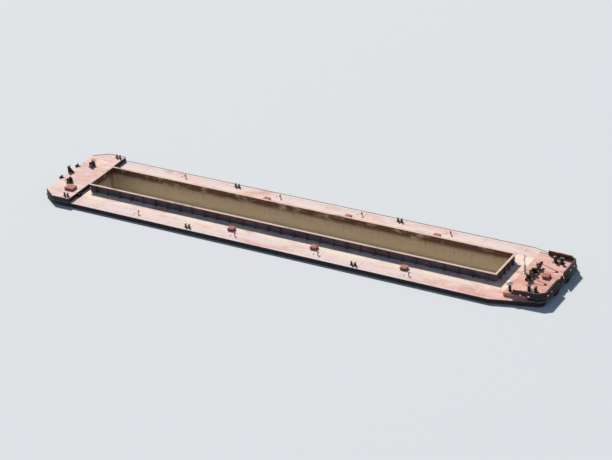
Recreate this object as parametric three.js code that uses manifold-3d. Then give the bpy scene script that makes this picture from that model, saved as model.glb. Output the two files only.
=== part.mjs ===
// River barge: a pushed cargo barge with one long open hold between wide side tanks, built at
// half of its real size. Every number below is in metres of the full-size barge, and the
// exported group scales them to millimetres of the half-size model.
// +X is forward, +Y is port, +Z is up. The origin is amidships, on the centreline, at the bottom.
import * as THREE from "three";
import { mergeVertices } from "three/addons/utils/BufferGeometryUtils.js";
import Module from "manifold-3d";

const wasm = await Module();
wasm.setup();

// Driving dimensions, in metres of the full-size barge
const MODEL_SCALE = 0.5;
const MM_PER_METRE = 1000 * MODEL_SCALE;
const GAP = 0.0006; // between pieces that touch: 0.3 mm on the model
const CLEAR = 0.014; // between pieces that move past each other: 7 mm on the model
const END = 39; // half of the length over the push knees and the anchors
const STRAKE = 0.1; // how far the rubbing strakes stand out of the sides
const HALF_BEAM = 7.1 - STRAKE;
const DECK = 2.6; // height of the main deck above the bottom
const FORE_DECK = 3.05;
const POOP_DECK = 3.2;
const HOLD = { aft: -32.9, fore: 30.6, half: 2.65, bottom: 0.55, floor: 0.62 };
const COAMING = { top: 3.77, plate: 0.1, flange: 0.22, flangeDepth: 0.06, foot: 0.38, stay: 0.05 };
const BOW = { rake: 31, bend: 38.1, bendZ: 1.75, stem: 38.6 };
const STERN = { rake: -33.6, transom: -38.75, transomZ: 1.25 };
const BILGE = 0.5;
const ROUND = 24; // sides of shafts and of their bores
const SIDES = [
  { name: "starboard", s: -1 },
  { name: "port", s: 1 },
];

// Solids: three.js makes the shapes, manifold-3d joins and cuts them

function solid(geometry) {
  const bare = geometry.index ? geometry.toNonIndexed() : geometry.clone();
  bare.deleteAttribute("normal");
  bare.deleteAttribute("uv");
  const merged = mergeVertices(bare, 1e-5);
  const kept = [];
  const index = merged.index.array;
  for (let i = 0; i < index.length; i += 3) {
    const [a, b, c] = [index[i], index[i + 1], index[i + 2]];
    if (a !== b && b !== c && c !== a) kept.push(a, b, c);
  }
  return new wasm.Manifold(
    new wasm.Mesh({
      numProp: 3,
      vertProperties: merged.attributes.position.array,
      triVerts: new Uint32Array(kept),
    }),
  );
}

const join = (...parts) => parts.flat().reduce((a, b) => a.add(b));
const cut = (body, ...tools) => tools.flat().reduce((a, b) => a.subtract(b), body);

function block(x0, x1, y0, y1, z0, z1) {
  const box = new THREE.BoxGeometry(x1 - x0, y1 - y0, z1 - z0);
  return solid(box.translate((x0 + x1) / 2, (y0 + y1) / 2, (z0 + z1) / 2));
}

function outline(points) {
  return new THREE.Shape(points.map(([a, b]) => new THREE.Vector2(a, b)));
}

const extrude = (shape, depth) =>
  new THREE.ExtrudeGeometry(shape, { depth, bevelEnabled: false, curveSegments: 12 });

// A plan outline of [x, y] points raised from z0 to z1
const raised = (points, z0, z1) => solid(extrude(outline(points), z1 - z0).translate(0, 0, z0));

// A side view outline of [x, z] points drawn across from y0 to y1
const across = (points, y0, y1) =>
  solid(extrude(outline(points), y1 - y0).rotateX(Math.PI / 2).translate(0, y1, 0));

// A cross-section outline of [y, z] points drawn along from x0 to x1
function along(points, x0, x1) {
  const turn = new THREE.Matrix4().makeBasis(
    new THREE.Vector3(0, 1, 0),
    new THREE.Vector3(0, 0, 1),
    new THREE.Vector3(1, 0, 0),
  );
  return solid(extrude(outline(points), x1 - x0).applyMatrix4(turn).translate(x0, 0, 0));
}

// A shape made round the Y axis, turned to the named axis and moved to its place
function placed(geometry, axis, at) {
  if (axis === "z") geometry.rotateX(Math.PI / 2);
  if (axis === "x") geometry.rotateZ(-Math.PI / 2);
  return solid(geometry.translate(...at));
}

const rod = (radius, length, axis, at, sides = ROUND) =>
  placed(new THREE.CylinderGeometry(radius, radius, length, sides), axis, at);

// A turned piece from [radius, height] points, listed from its low end to its high end
function turned(profile, axis, at, sides = ROUND) {
  const points = [[0, profile[0][0][1]], ...profile[0], [0, profile[0].at(-1)[1]]];
  const curve = points.map(([r, h]) => new THREE.Vector2(r, h));
  return placed(new THREE.LatheGeometry(curve, sides), axis, at);
}

// The radius of a faceted bore that a round shaft of the given radius can turn in
const boreFor = (radius, sides = ROUND) => (radius + GAP) / Math.cos(Math.PI / sides);

// Points of an arc that leaves (x0, 0) level and ends at (x1, z1)
function rakeArc(x0, x1, z1, steps) {
  const run = Math.abs(x1 - x0);
  const radius = (run * run + z1 * z1) / (2 * z1);
  const sweep = 2 * Math.atan(z1 / run);
  return Array.from({ length: steps + 1 }, (_, i) => {
    const t = (sweep * i) / steps;
    return [x0 + Math.sign(x1 - x0) * radius * Math.sin(t), radius * (1 - Math.cos(t))];
  });
}

const mirrored = (half) => [...half, ...half.map(([x, y]) => [x, -y]).reverse()];

// Materials

const paint = (color, roughness, metalness = 0.1) =>
  new THREE.MeshStandardMaterial({ color, roughness, metalness, flatShading: true });
const FINISH = {
  hull: paint(0x1d1a1c, 0.7),
  deck: paint(0xc29486, 0.85),
  coaming: paint(0x7a4a40, 0.8),
  floor: paint(0xb9a58a, 0.7, 0.4),
  fitting: paint(0x2b2624, 0.6, 0.3),
  gear: paint(0x5f6a5c, 0.6, 0.3),
  iron: paint(0x3a322e, 0.75, 0.5),
  white: paint(0xe6e2d8, 0.5),
  lid: paint(0x9a5d50, 0.8),
};

const barge = new THREE.Group();

function add(name, body, finish) {
  const made = body.getMesh();
  const geometry = new THREE.BufferGeometry();
  const points = new Float32Array(made.vertProperties);
  geometry.setAttribute("position", new THREE.BufferAttribute(points, made.numProp));
  geometry.setIndex(new THREE.BufferAttribute(new Uint32Array(made.triVerts), 1));
  const mesh = new THREE.Mesh(geometry, FINISH[finish]);
  mesh.name = name;
  barge.add(mesh);
}

// Hull: one outer form, parted where the real barge's sections meet

const HULL_PLAN = mirrored([
  [STERN.transom, 5.6],
  [-36.6, HALF_BEAM],
  [31.6, HALF_BEAM],
  [38, 5.3],
  [BOW.stem, 4.7],
]);

function hullForm() {
  const profile = [
    [STERN.transom, DECK],
    ...rakeArc(STERN.rake, STERN.transom, STERN.transomZ, 6).reverse(),
    ...rakeArc(BOW.rake, BOW.bend, BOW.bendZ, 8),
    [BOW.stem, DECK],
  ];
  const bilge = Array.from({ length: 6 }, (_, i) => {
    const t = (Math.PI / 2) * (i / 5);
    return [HALF_BEAM - BILGE + BILGE * Math.sin(t), BILGE * (1 - Math.cos(t))];
  });
  const section = [...bilge, [HALF_BEAM, DECK]];
  const mirror = section.map(([y, z]) => [-y, z]).reverse();
  return across(profile, -HALF_BEAM, HALF_BEAM)
    .intersect(raised(HULL_PLAN, 0, DECK))
    .intersect(along([...section, ...mirror], -END, END));
}

function hull() {
  const form = hullForm();
  const part = (x0, x1, y0, y1, z1) => form.intersect(block(x0, x1, y0, y1, -1, z1));
  add("stern_section", part(-END, HOLD.aft, -8, 8, DECK), "hull");
  add("bow_section", part(HOLD.fore, END, -8, 8, DECK), "hull");
  const [aft, fore] = [HOLD.aft + GAP, HOLD.fore - GAP];
  add("wing_tank_starboard", part(aft, fore, -8, -HOLD.half, DECK), "hull");
  add("wing_tank_port", part(aft, fore, HOLD.half, 8, DECK), "hull");
  const inner = HOLD.half - GAP;
  add("double_bottom", part(aft, fore, -inner, inner, HOLD.bottom), "hull");
  add("hold_floor", block(aft, fore, -inner, inner, HOLD.bottom + GAP, HOLD.floor), "floor");
  for (const { name, s } of SIDES) {
    const port = rubbingStrake();
    add(`rubbing_strake_${name}`, s > 0 ? port : port.mirror([0, 1, 0]), "fitting");
  }
}

// A line of [x, y] points moved sideways by d, to its left as it runs forward, with its corners
// kept sharp
function shifted(line, d) {
  const normals = line.slice(1).map(([x, y], i) => {
    const [dx, dy] = [x - line[i][0], y - line[i][1]];
    const length = Math.hypot(dx, dy);
    return [-dy / length, dx / length];
  });
  return line.map(([x, y], i) => {
    const a = normals[Math.max(i - 1, 0)];
    const b = normals[Math.min(i, normals.length - 1)];
    const k = d / (1 + a[0] * b[0] + a[1] * b[1]);
    return [x + (a[0] + b[0]) * k, y + (a[1] + b[1]) * k];
  });
}

// A wall that follows a plan line between two distances from it, from z0 to z1
const wallAlong = (line, near, far, z0, z1) =>
  raised([...shifted(line, near), ...shifted(line, far).reverse()].reverse(), z0, z1);

function rubbingStrake() {
  const line = HULL_PLAN.slice(0, 4);
  return join(
    wallAlong(line, GAP, STRAKE, 2.38, 2.47),
    wallAlong(line, GAP, 0.06, 2.32, 2.38),
    wallAlong(line, GAP, 0.06, 2.47, 2.53),
  );
}

// Coamings: the plate walls round the hold, with a top flange and stays on the outside. The side
// flanges run on to the hold's corners, past the ends of their walls

function coamingSection(u0) {
  const base = DECK + GAP;
  const [face, lip] = [u0 + COAMING.plate, u0 + COAMING.plate + COAMING.flange];
  const under = COAMING.top - COAMING.flangeDepth;
  return {
    wall: [
      [u0, base],
      [face, base],
      [face, under],
      [lip, under],
      [lip, COAMING.top],
      [u0, COAMING.top],
    ],
    stay: [
      [face, base],
      [face + COAMING.foot, base],
      [lip, under],
      [face, under],
    ],
    corner: [
      [u0, under],
      [lip, under],
      [lip, COAMING.top],
      [u0, COAMING.top],
    ],
  };
}

function coamings() {
  const flip = (points) => points.map(([a, b]) => [-a, b]).reverse();
  const side = coamingSection(HOLD.half);
  const [aft, fore] = [HOLD.aft - COAMING.plate, HOLD.fore + COAMING.plate];
  const bays = 30;
  const pitch = 2.05;
  for (const { name, s } of SIDES) {
    const face = (points) => (s > 0 ? points : flip(points));
    const parts = [along(face(side.wall), aft, fore)];
    parts.push(along(face(side.corner), aft - COAMING.flange, aft));
    parts.push(along(face(side.corner), fore, fore + COAMING.flange));
    for (let i = 0; i <= bays; i++) {
      const x = aft + 1.1 + i * pitch;
      parts.push(along(face(side.stay), x - COAMING.stay / 2, x + COAMING.stay / 2));
    }
    add(`coaming_${name}`, join(parts), "coaming");
  }
  const ends = [
    { name: "fore", shape: coamingSection(HOLD.fore), face: (points) => points },
    { name: "aft", shape: coamingSection(-HOLD.aft), face: flip },
  ];
  const inner = HOLD.half - GAP;
  for (const { name, shape, face } of ends) {
    const parts = [across(face(shape.wall), -inner, inner)];
    for (const y of [-1.8, -0.6, 0.6, 1.8]) {
      parts.push(across(face(shape.stay), y - COAMING.stay / 2, y + COAMING.stay / 2));
    }
    add(`coaming_${name}`, join(parts), "coaming");
  }
}

// Raised decks at the two ends, and the bulwark round the fore one

const CHAIN_LINE = 1.7; // how far each anchor chain runs from the centreline
const WINDLASS = { x: 34.7, axis: FORE_DECK + 0.55, shaft: 0.08, stands: [0.62, 1.35] };
const CHAIN_LIFT = 0.235; // from the windlass's axis to the middle of the chain
const PIPE = { radius: 0.15, depth: 0.25, deck: 37.05, locker: WINDLASS.x - CHAIN_LIFT };

function raisedDecks() {
  const fore = mirrored([
    [33, 5.45],
    [37.6, 5.2],
    [38.5, 4.55],
  ]);
  const wells = SIDES.flatMap(({ s }) =>
    [PIPE.deck, PIPE.locker].map((x) =>
      rod(PIPE.radius, PIPE.depth * 2, "z", [x, s * CHAIN_LINE, FORE_DECK], 16),
    ),
  );
  add("forecastle", cut(raised(fore, DECK + GAP, FORE_DECK), wells), "deck");
  const aft = mirrored([
    [STERN.transom + 0.03, 5.55],
    [-36.6, HALF_BEAM - 0.05],
    [-33.8, HALF_BEAM - 0.05],
  ]);
  add("poop", raised(aft, DECK + GAP, POOP_DECK), "deck");
}

const BULWARK = { height: 0.7, plate: 0.08, rail: 0.17, railDepth: 0.05, aft: 34.2, gate: 0.85 };

function bulwarks() {
  // Half outlines from the aft end, round the corner, to the gate on the centreline
  const run = (inset) => [
    [BULWARK.aft, 5.36 - inset],
    [37.58 - inset * 0.4, 5.17 - inset],
    [38.46 - inset, 4.52 - inset * 0.6],
    [38.46 - inset, BULWARK.gate],
  ];
  const ring = (outer, inner, z0, z1) => raised([...run(outer), ...run(inner).reverse()], z0, z1);
  const [base, top] = [FORE_DECK + GAP, FORE_DECK + BULWARK.height];
  const wall = ring(0, BULWARK.plate, base, top);
  const rail = ring(0, BULWARK.rail, top - BULWARK.railDepth, top);
  const stay = [
    [0, base],
    [0.3, base],
    [0.16, top - 0.02],
    [0, top - 0.02],
  ];
  const parts = [wall, rail];
  for (const y of [1.2, 2.3, 3.4]) {
    const points = stay.map(([u, z]) => [38.4 - u, z]).reverse();
    parts.push(across(points, y - 0.02, y + 0.02));
  }
  for (const x of [34.5, 35.6, 36.7]) {
    const wallY = 5.3 - (x - BULWARK.aft) * 0.056;
    parts.push(along(stay.map(([u, z]) => [wallY - u, z]).reverse(), x - 0.02, x + 0.02));
  }
  const scuppers = [
    block(35.1, 35.4, 4.9, 5.6, base - 0.1, base + 0.12),
    block(36.2, 36.5, 4.9, 5.6, base - 0.1, base + 0.12),
    block(38.2, 38.6, 2.7, 3, base - 0.1, base + 0.12),
    block(38.2, 38.6, 3.8, 4.1, base - 0.1, base + 0.12),
  ];
  const slope = across(
    [
      [BULWARK.aft - 1, top + 1],
      [BULWARK.aft - 1, base + 0.3],
      [BULWARK.aft, base + 0.3],
      [BULWARK.aft + 0.5, top + 1],
    ].reverse(),
    4,
    6,
  );
  const port = cut(join(parts), scuppers, slope);
  for (const { name, s } of SIDES) {
    add(`bow_bulwark_${name}`, s > 0 ? port : port.mirror([0, 1, 0]), "coaming");
  }
}

// Double mooring bitts: two posts on a base plate, joined by a cross bar. The pair at the bow is
// larger, and stands higher than the bulwark

function bitts({ x, y, z, size }) {
  const [baseX, baseY] = [0.5 * size, 0.18 * size];
  const base = block(x - baseX, x + baseX, y - baseY, y + baseY, z + GAP, z + 0.05 * size);
  const post = [
    [0.12, 0],
    [0.12, 0.44],
    [0.15, 0.46],
    [0.15, 0.5],
  ].map(([r, h]) => [r * size, h * size]);
  const foot = z + 0.04 * size;
  const posts = [-0.28, 0.28].map((dx) => turned([post], "z", [x + dx * size, y, foot], 12));
  const bar = rod(0.035 * size, 0.92 * size, "x", [x, y, z + 0.26 * size], 8);
  return join(base, posts, bar);
}

const BITTS = [
  { place: "fore", x: 36.3, y: 3.9, z: FORE_DECK, size: 1.6 },
  { place: "mid_fore", x: 12, y: 6.3, z: DECK, size: 1 },
  { place: "mid_aft", x: -14, y: 6.3, z: DECK, size: 1 },
  { place: "aft", x: -34.6, y: 6.3, z: POOP_DECK, size: 1 },
];

function allBitts() {
  for (const { place, y, ...rest } of BITTS) {
    for (const { name, s } of SIDES) {
      add(`bitts_${place}_${name}`, bitts({ ...rest, y: s * y }), "fitting");
    }
  }
}

// Hatches: a low trunk with an open well, and a lid on a hinge along one edge of it. Both are
// made in the hinge's frame: the trunk's top at z = 0, its near wall at y = LID.back

const TRUNK = { wall: 0.05, sole: 0.02 };
const LID = { thick: 0.04, skirt: 0.05, over: 0.03, back: 0.04 };
const HINGE = { barrel: 0.03, pin: 0.012, z: 0.02, lug: 0.03 };

const knuckleHalf = (length) => length * 0.3;

function hatchTrunk({ length, width, height }) {
  const h = length / 2;
  const w = TRUNK.wall;
  const [y0, y1] = [LID.back, LID.back + width];
  const walls = cut(
    block(-h, h, y0, y1, GAP - height, 0),
    block(-h + w, h - w, y0 + w, y1 - w, TRUNK.sole - height, 1),
  );
  const lug = [
    [-0.026, 0],
    [0.02, -0.08],
    [y0 + 0.01, -0.08],
    [y0 + 0.01, -0.01],
    [0.024, -0.005],
    [0.02, 0.04],
    [-0.02, 0.04],
  ];
  const inner = knuckleHalf(length) + CLEAR;
  const lugs = SIDES.map(({ s }) => {
    const [x0, x1] = s > 0 ? [inner, inner + HINGE.lug] : [-inner - HINGE.lug, -inner];
    return along(lug, x0, x1);
  });
  const pin = rod(HINGE.pin, 2 * inner + HINGE.lug, "x", [0, 0, HINGE.z], 8);
  return join(walls, lugs, pin);
}

function hatchLid({ length, width }) {
  const h = length / 2 + LID.over;
  const [y0, y1] = [LID.back, LID.back + width + LID.over];
  const t = 0.02;
  const cover = cut(
    block(-h, h, y0, y1, -LID.skirt, LID.thick),
    block(-h + t, h - t, y0 - 1, y1 - t, -1, GAP),
    block(-h - 1, h + 1, y0 - 1, y0 + 0.05, -1, GAP),
  );
  const ribs = [-0.3, 0, 0.3].map((u) => {
    const x = u * length;
    return block(x - 0.02, x + 0.02, y0 + 0.1, y1 - 0.08, LID.thick / 2, LID.thick + 0.03);
  });
  const k = knuckleHalf(length);
  const knuckle = rod(HINGE.barrel, 2 * k, "x", [0, 0, HINGE.z], 12);
  const leaf = block(-k + 0.02, k - 0.02, 0, y0 + 0.02, 0.004, LID.thick - 0.004);
  const bore = rod(boreFor(HINGE.pin, 8), 2, "x", [0, 0, HINGE.z], 8);
  return cut(join(cover, ribs, knuckle, leaf), bore);
}

// facing is the way that the lid lies from its hinge, as degrees round from +Y
function atHatch(body, { x, y, z, width, height, facing }) {
  const back = width / 2 + LID.back;
  const angle = (facing * Math.PI) / 180;
  const [dx, dy] = [Math.round(Math.sin(angle)) * back, -Math.round(Math.cos(angle)) * back];
  return body.rotate([0, 0, facing]).translate([x + dx, y + dy, z + height]);
}

const TANK_HATCH = { y: 4.5, length: 0.9, width: 0.75, height: 0.32 };
const TANK_HATCHES = [18.5, 5, -8];
const PEAK_HATCHES = [
  { name: "forepeak", x: 36.4, y: 0, z: FORE_DECK, length: 0.9, width: 0.85, facing: 270 },
  { name: "afterpeak", x: -35.4, y: -4.2, z: POOP_DECK, length: 1.4, width: 1.1, facing: 180 },
];

function addHatch(trunkName, lidName, hatch) {
  add(trunkName, atHatch(hatchTrunk(hatch), hatch), "lid");
  add(lidName, atHatch(hatchLid(hatch), hatch), "lid");
}

function hatches() {
  const { y } = TANK_HATCH;
  TANK_HATCHES.forEach((x, i) => {
    for (const { name, s } of SIDES) {
      const hatch = { ...TANK_HATCH, x, y: s * y, z: DECK, facing: s > 0 ? 0 : 180 };
      addHatch(`tank_hatch_${name}_${i + 1}`, `tank_lid_${name}_${i + 1}`, hatch);
    }
  });
  for (const { name, ...hatch } of PEAK_HATCHES) {
    addHatch(`${name}_hatch`, `${name}_lid`, { ...hatch, height: TANK_HATCH.height });
  }
}

// Anchor windlass: bed, drive case, and the shaft with its gear, chain wheels and warping heads

function gearOutline(teeth, root, tip) {
  return Array.from({ length: teeth * 4 }, (_, i) => {
    const t = (i / (teeth * 4)) * Math.PI * 2;
    const r = i % 4 < 2 ? tip : root;
    return [r * Math.cos(t), r * Math.sin(t)];
  });
}

function windlass() {
  const { x, axis, shaft } = WINDLASS;
  const base = block(x - 0.55, x + 0.55, -1.6, 1.6, FORE_DECK + GAP, FORE_DECK + 0.08);
  const stand = [
    [x - 0.3, FORE_DECK + 0.06],
    [x + 0.3, FORE_DECK + 0.06],
    [x + 0.14, axis + 0.06],
    [x + 0.07, axis + 0.15],
    [x - 0.07, axis + 0.15],
    [x - 0.14, axis + 0.06],
  ];
  const stands = SIDES.flatMap(({ s }) =>
    WINDLASS.stands.map((y) => across(stand, s * y - 0.07, s * y + 0.07)),
  );
  const bore = rod(boreFor(shaft), 6, "y", [x, 0, axis]);
  add("windlass_bed", cut(join(base, stands), bore), "gear");

  const gear = { radius: 0.42, half: 0.07 };
  const gearTeeth = across(gearOutline(20, 0.37, gear.radius), -gear.half, gear.half);
  const bodyParts = [rod(shaft, 4.7, "y", [x, 0, axis]), gearTeeth.translate([x, 0, axis])];
  const chainWheel = [
    [0.27, -0.13],
    [0.27, -0.09],
    [0.165, -0.04],
    [0.165, 0.04],
    [0.27, 0.09],
    [0.27, 0.13],
  ];
  const warpingHead = [
    [0.2, -0.16],
    [0.2, -0.13],
    [0.13, -0.05],
    [0.13, 0.08],
    [0.19, 0.15],
    [0.19, 0.18],
  ];
  for (const { s } of SIDES) {
    bodyParts.push(turned([chainWheel], "y", [x, s * CHAIN_LINE, axis], 16));
    bodyParts.push(rod(0.32, 0.08, "y", [x, s * (CHAIN_LINE - 0.2), axis]));
    const head = turned([warpingHead], "y", [x, 2.15, axis], 16);
    bodyParts.push(s > 0 ? head : head.mirror([0, 1, 0]));
  }
  add("windlass_shaft", join(bodyParts), "iron");

  const top = FORE_DECK + 0.08 + GAP;
  const caseBox = block(x - 0.54, x - 0.2, -0.32, 0.32, top, axis + 0.28);
  const motor = rod(0.2, 0.75, "y", [x - 0.37, 0.62, top + 0.2 + GAP], 16);
  const slot = rod(gear.radius + CLEAR, 2 * (gear.half + CLEAR), "y", [x, 0, axis], 48);
  const shaftWay = rod(shaft + CLEAR, 1, "y", [x, 0, axis]);
  const caseClear = cut(join(caseBox, cut(motor, standsClear(x))), slot, shaftWay);
  add("windlass_drive", caseClear, "gear");
}

// The space round the port stand of the windlass that the motor keeps out of
function standsClear(x) {
  const y = WINDLASS.stands[0];
  return block(x - 0.32, x + 0.4, y - 0.08, y + 0.08, FORE_DECK, FORE_DECK + 1);
}

// Anchors and their chains

const LINK = { length: 0.17, width: 0.1, thick: 0.034, pitch: 0.115 };

// The chain's run: up out of its locker, over the chain wheel, and down into the deck pipe
function chainRoute() {
  const { x, axis } = WINDLASS;
  const low = FORE_DECK - PIPE.depth + GAP + LINK.length / 2;
  const start = new THREE.Vector3(PIPE.locker, 0, low);
  const path = new THREE.CurvePath();
  path.add(new THREE.LineCurve3(start, new THREE.Vector3(x - CHAIN_LIFT, 0, axis)));
  const rise = 0.36; // how far past its top the chain leaves the wheel, in radians
  const arc = Array.from({ length: 9 }, (_, i) => {
    const t = Math.PI - ((Math.PI / 2 + rise) * i) / 8;
    return new THREE.Vector3(x + CHAIN_LIFT * Math.cos(t), 0, axis + CHAIN_LIFT * Math.sin(t));
  });
  arc.slice(1).forEach((p, i) => path.add(new THREE.LineCurve3(arc[i], p)));
  const mouth = new THREE.Vector3(PIPE.deck, 0, FORE_DECK + 0.14);
  path.add(new THREE.LineCurve3(arc.at(-1), mouth));
  path.add(new THREE.LineCurve3(mouth, new THREE.Vector3(PIPE.deck, 0, low)));
  return path;
}

function chain() {
  const path = chainRoute();
  const last = Math.round(path.getLength() / LINK.pitch);
  const links = [];
  for (let i = 0; i <= last; i++) {
    const u = i / last;
    const at = path.getPointAt(u);
    const way = path.getTangentAt(u);
    const [w, t] = i % 2 ? [LINK.width, LINK.thick] : [LINK.thick, LINK.width];
    const pitch = (-Math.atan2(way.z, way.x) * 180) / Math.PI;
    links.push(
      block(-LINK.length / 2, LINK.length / 2, -w / 2, w / 2, -t / 2, t / 2)
        .rotate([0, pitch, 0])
        .translate([at.x, 0, at.z]),
    );
  }
  return join(links);
}

// A stockless anchor drawn up to the bow: its shank goes in at the hawse lip, and its flukes
// lie along the raked face
const ANCHOR = { z: 2.2, off: 0.17, lean: 30, fluke: 0.88, spread: 0.27, shank: 0.5 };

function anchor() {
  const slope = (BOW.stem - BOW.bend) / (DECK - BOW.bendZ);
  const face = (z) => BOW.bend + (z - BOW.bendZ) * slope + GAP;
  const crownX = face(ANCHOR.z) + ANCHOR.off;
  const crown = along(
    [
      [-0.46, -0.07],
      [-0.34, -0.13],
      [0.34, -0.13],
      [0.46, -0.07],
      [0.46, 0.07],
      [0.34, 0.13],
      [-0.34, 0.13],
      [-0.46, 0.07],
    ],
    -0.12,
    0.12,
  );
  const palm = [
    [-0.15, 0],
    [0.15, 0],
    [0.13, 0.42],
    [0, ANCHOR.fluke],
    [-0.13, 0.42],
  ];
  const flukes = [-1, 1].map((s) => along(palm, -0.04, 0.04).translate([0, s * ANCHOR.spread, 0]));
  const ribs = [-1, 1].map((s) =>
    across(
      [
        [-0.1, 0],
        [0.1, 0],
        [0.03, 0.6],
        [-0.03, 0.6],
      ],
      s * ANCHOR.spread - 0.035,
      s * ANCHOR.spread + 0.035,
    ),
  );
  const shank = block(-0.07, 0.07, -0.06, 0.06, 0, ANCHOR.shank).rotate([0, -58, 0]);
  const head = join(crown, flukes, ribs).rotate([0, ANCHOR.lean, 0]);
  const lipZ = ANCHOR.z + 0.2;
  const lip = rod(0.19, 0.1, "x", [face(lipZ), 0, lipZ], 16);
  const body = join(join(head, shank).translate([crownX, 0, ANCHOR.z]), lip);
  const bowSide = [
    [30, 0],
    [face(0), 0],
    [face(DECK + GAP), DECK + GAP],
    [38.5 + GAP, DECK + GAP],
    [38.5 + GAP, 5],
    [30, 5],
  ];
  return cut(body, across(bowSide, -2, 2)).intersect(block(30, END, -2, 2, 0, 5));
}

function groundTackle() {
  const [oneChain, oneAnchor] = [chain(), anchor()];
  for (const { name, s } of SIDES) {
    add(`anchor_chain_${name}`, oneChain.translate([0, s * CHAIN_LINE, 0]), "iron");
    add(`anchor_${name}`, oneAnchor.translate([0, s * CHAIN_LINE, 0]), "iron");
  }
}

// Signal mast: a post with a fork, and the part that folds aft on its pin

const MAST = { x: 33.45, pin: FORE_DECK + 0.9, head: 5.6, pinRadius: 0.03, heel: 0.08 };

function mast() {
  const { x, pin, head, pinRadius, heel } = MAST;
  const foot = block(x - 0.22, x + 0.22, -0.22, 0.22, FORE_DECK + GAP, FORE_DECK + 0.04);
  const post = block(x - 0.1, x + 0.1, -0.14, 0.14, FORE_DECK + 0.03, pin - 0.17);
  const cheeks = SIDES.map(({ s }) => {
    const [y0, y1] = s > 0 ? [heel + CLEAR, 0.14] : [-0.14, -heel - CLEAR];
    return block(x - 0.1, x + 0.1, y0, y1, pin - 0.2, pin + 0.1);
  });
  const axle = rod(pinRadius, 0.34, "y", [x, 0, pin]);
  add("mast_foot", join(foot, post, cheeks, axle), "white");

  const heelBlock = block(x - heel, x + heel, -heel, heel, pin - 0.1, pin + 0.3);
  const tube = rod(0.05, head - pin, "z", [x, 0, (head + pin) / 2], 12);
  const yard = rod(0.025, 0.9, "y", [x, 0, head - 0.5], 8);
  const lamp = [
    [0.07, 0],
    [0.07, 0.16],
    [0.04, 0.2],
  ];
  const lamps = [
    [0.4, head - 0.5],
    [-0.4, head - 0.5],
    [0, head - 0.05],
  ].map(([y, z]) => turned([lamp], "z", [x, y, z], 12));
  const bore = rod(boreFor(pinRadius), 1, "y", [x, 0, pin]);
  add("signal_mast", cut(join(heelBlock, tube, yard, lamps), bore), "white");
}

// Roller fairlead in the gate of the bow bulwark

const ROLLER = { x: 38.3, z: FORE_DECK + 0.24, radius: 0.11, half: 0.45, journal: 0.04 };

function bowRoller() {
  const { x, z, radius, half, journal } = ROLLER;
  const base = block(x - 0.2, x + 0.16, -0.6, 0.6, FORE_DECK + GAP, FORE_DECK + 0.05);
  const cheeks = SIDES.map(({ s }) => {
    const [y0, y1] = s > 0 ? [half + CLEAR, 0.56] : [-0.56, -half - CLEAR];
    return block(x - 0.15, x + 0.15, y0, y1, FORE_DECK + 0.03, z + 0.15);
  });
  const bore = rod(boreFor(journal), 2, "y", [x, 0, z]);
  add("bow_roller_frame", cut(join(base, cheeks), bore), "fitting");
  const barrel = [
    [0.13, -half],
    [0.13, -half + 0.04],
    [radius, -half + 0.08],
    [radius, half - 0.08],
    [0.13, half - 0.04],
    [0.13, half],
  ];
  const pin = rod(journal, 1.16, "y", [x, 0, z]);
  add("bow_roller", join(turned([barrel], "y", [x, 0, z], 16), pin), "iron");
}

// Ventilator with a mushroom cap, on the starboard after corner of the forecastle

function ventilator() {
  const profile = [
    [0.26, GAP],
    [0.26, 0.05],
    [0.18, 0.06],
    [0.18, 1],
    [0.42, 1.03],
    [0.42, 1.2],
    [0.31, 1.36],
    [0.13, 1.45],
  ];
  add("ventilator", turned([profile], "z", [33.6, -4.7, FORE_DECK], 16), "white");
}

// Coupling gear at the stern: push knees, the coupling beam, and two wire winches

function couplingGear() {
  const face = STERN.transom - GAP;
  for (const { name, s } of SIDES) {
    const y = s * 1.9;
    const knee = block(-END, face, y - 0.3, y + 0.3, 1.35, POOP_DECK + 0.3);
    const stay = across(
      [
        [face - 0.05, POOP_DECK + GAP],
        [face + 0.55, POOP_DECK + GAP],
        [face - 0.05, POOP_DECK + 0.28],
      ],
      y - 0.06,
      y + 0.06,
    );
    add(`push_knee_${name}`, join(knee, stay), "fitting");
  }
  const beam = block(-END + 0.05, face, -0.18, 0.18, 1.4, POOP_DECK + 0.9);
  const cap = block(-END + 0.02, face + 0.1, -0.24, 0.24, POOP_DECK + 0.86, POOP_DECK + 0.94);
  const stay = across(
    [
      [face - 0.05, POOP_DECK + GAP],
      [face + 0.9, POOP_DECK + GAP],
      [face + 0.08, POOP_DECK + 0.88],
      [face - 0.05, POOP_DECK + 0.88],
    ],
    -0.05,
    0.05,
  );
  add("coupling_beam", join(beam, cap, stay), "fitting");
}

const WINCH = { x: -36.7, y: 2.7, axis: POOP_DECK + 0.48, shaft: 0.05, drum: 0.3 };

function handWheel(radius, y) {
  const rim = new THREE.TorusGeometry(radius, 0.025, 6, ROUND);
  const parts = [solid(rim.rotateX(Math.PI / 2)), rod(0.08, 0.08, "y", [0, 0, 0])];
  for (const turn of [0, 60, 120]) {
    parts.push(rod(0.018, radius * 2, "x", [0, 0, 0], 8).rotate([0, turn, 0]));
  }
  return join(parts).translate([0, y, 0]);
}

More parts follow.
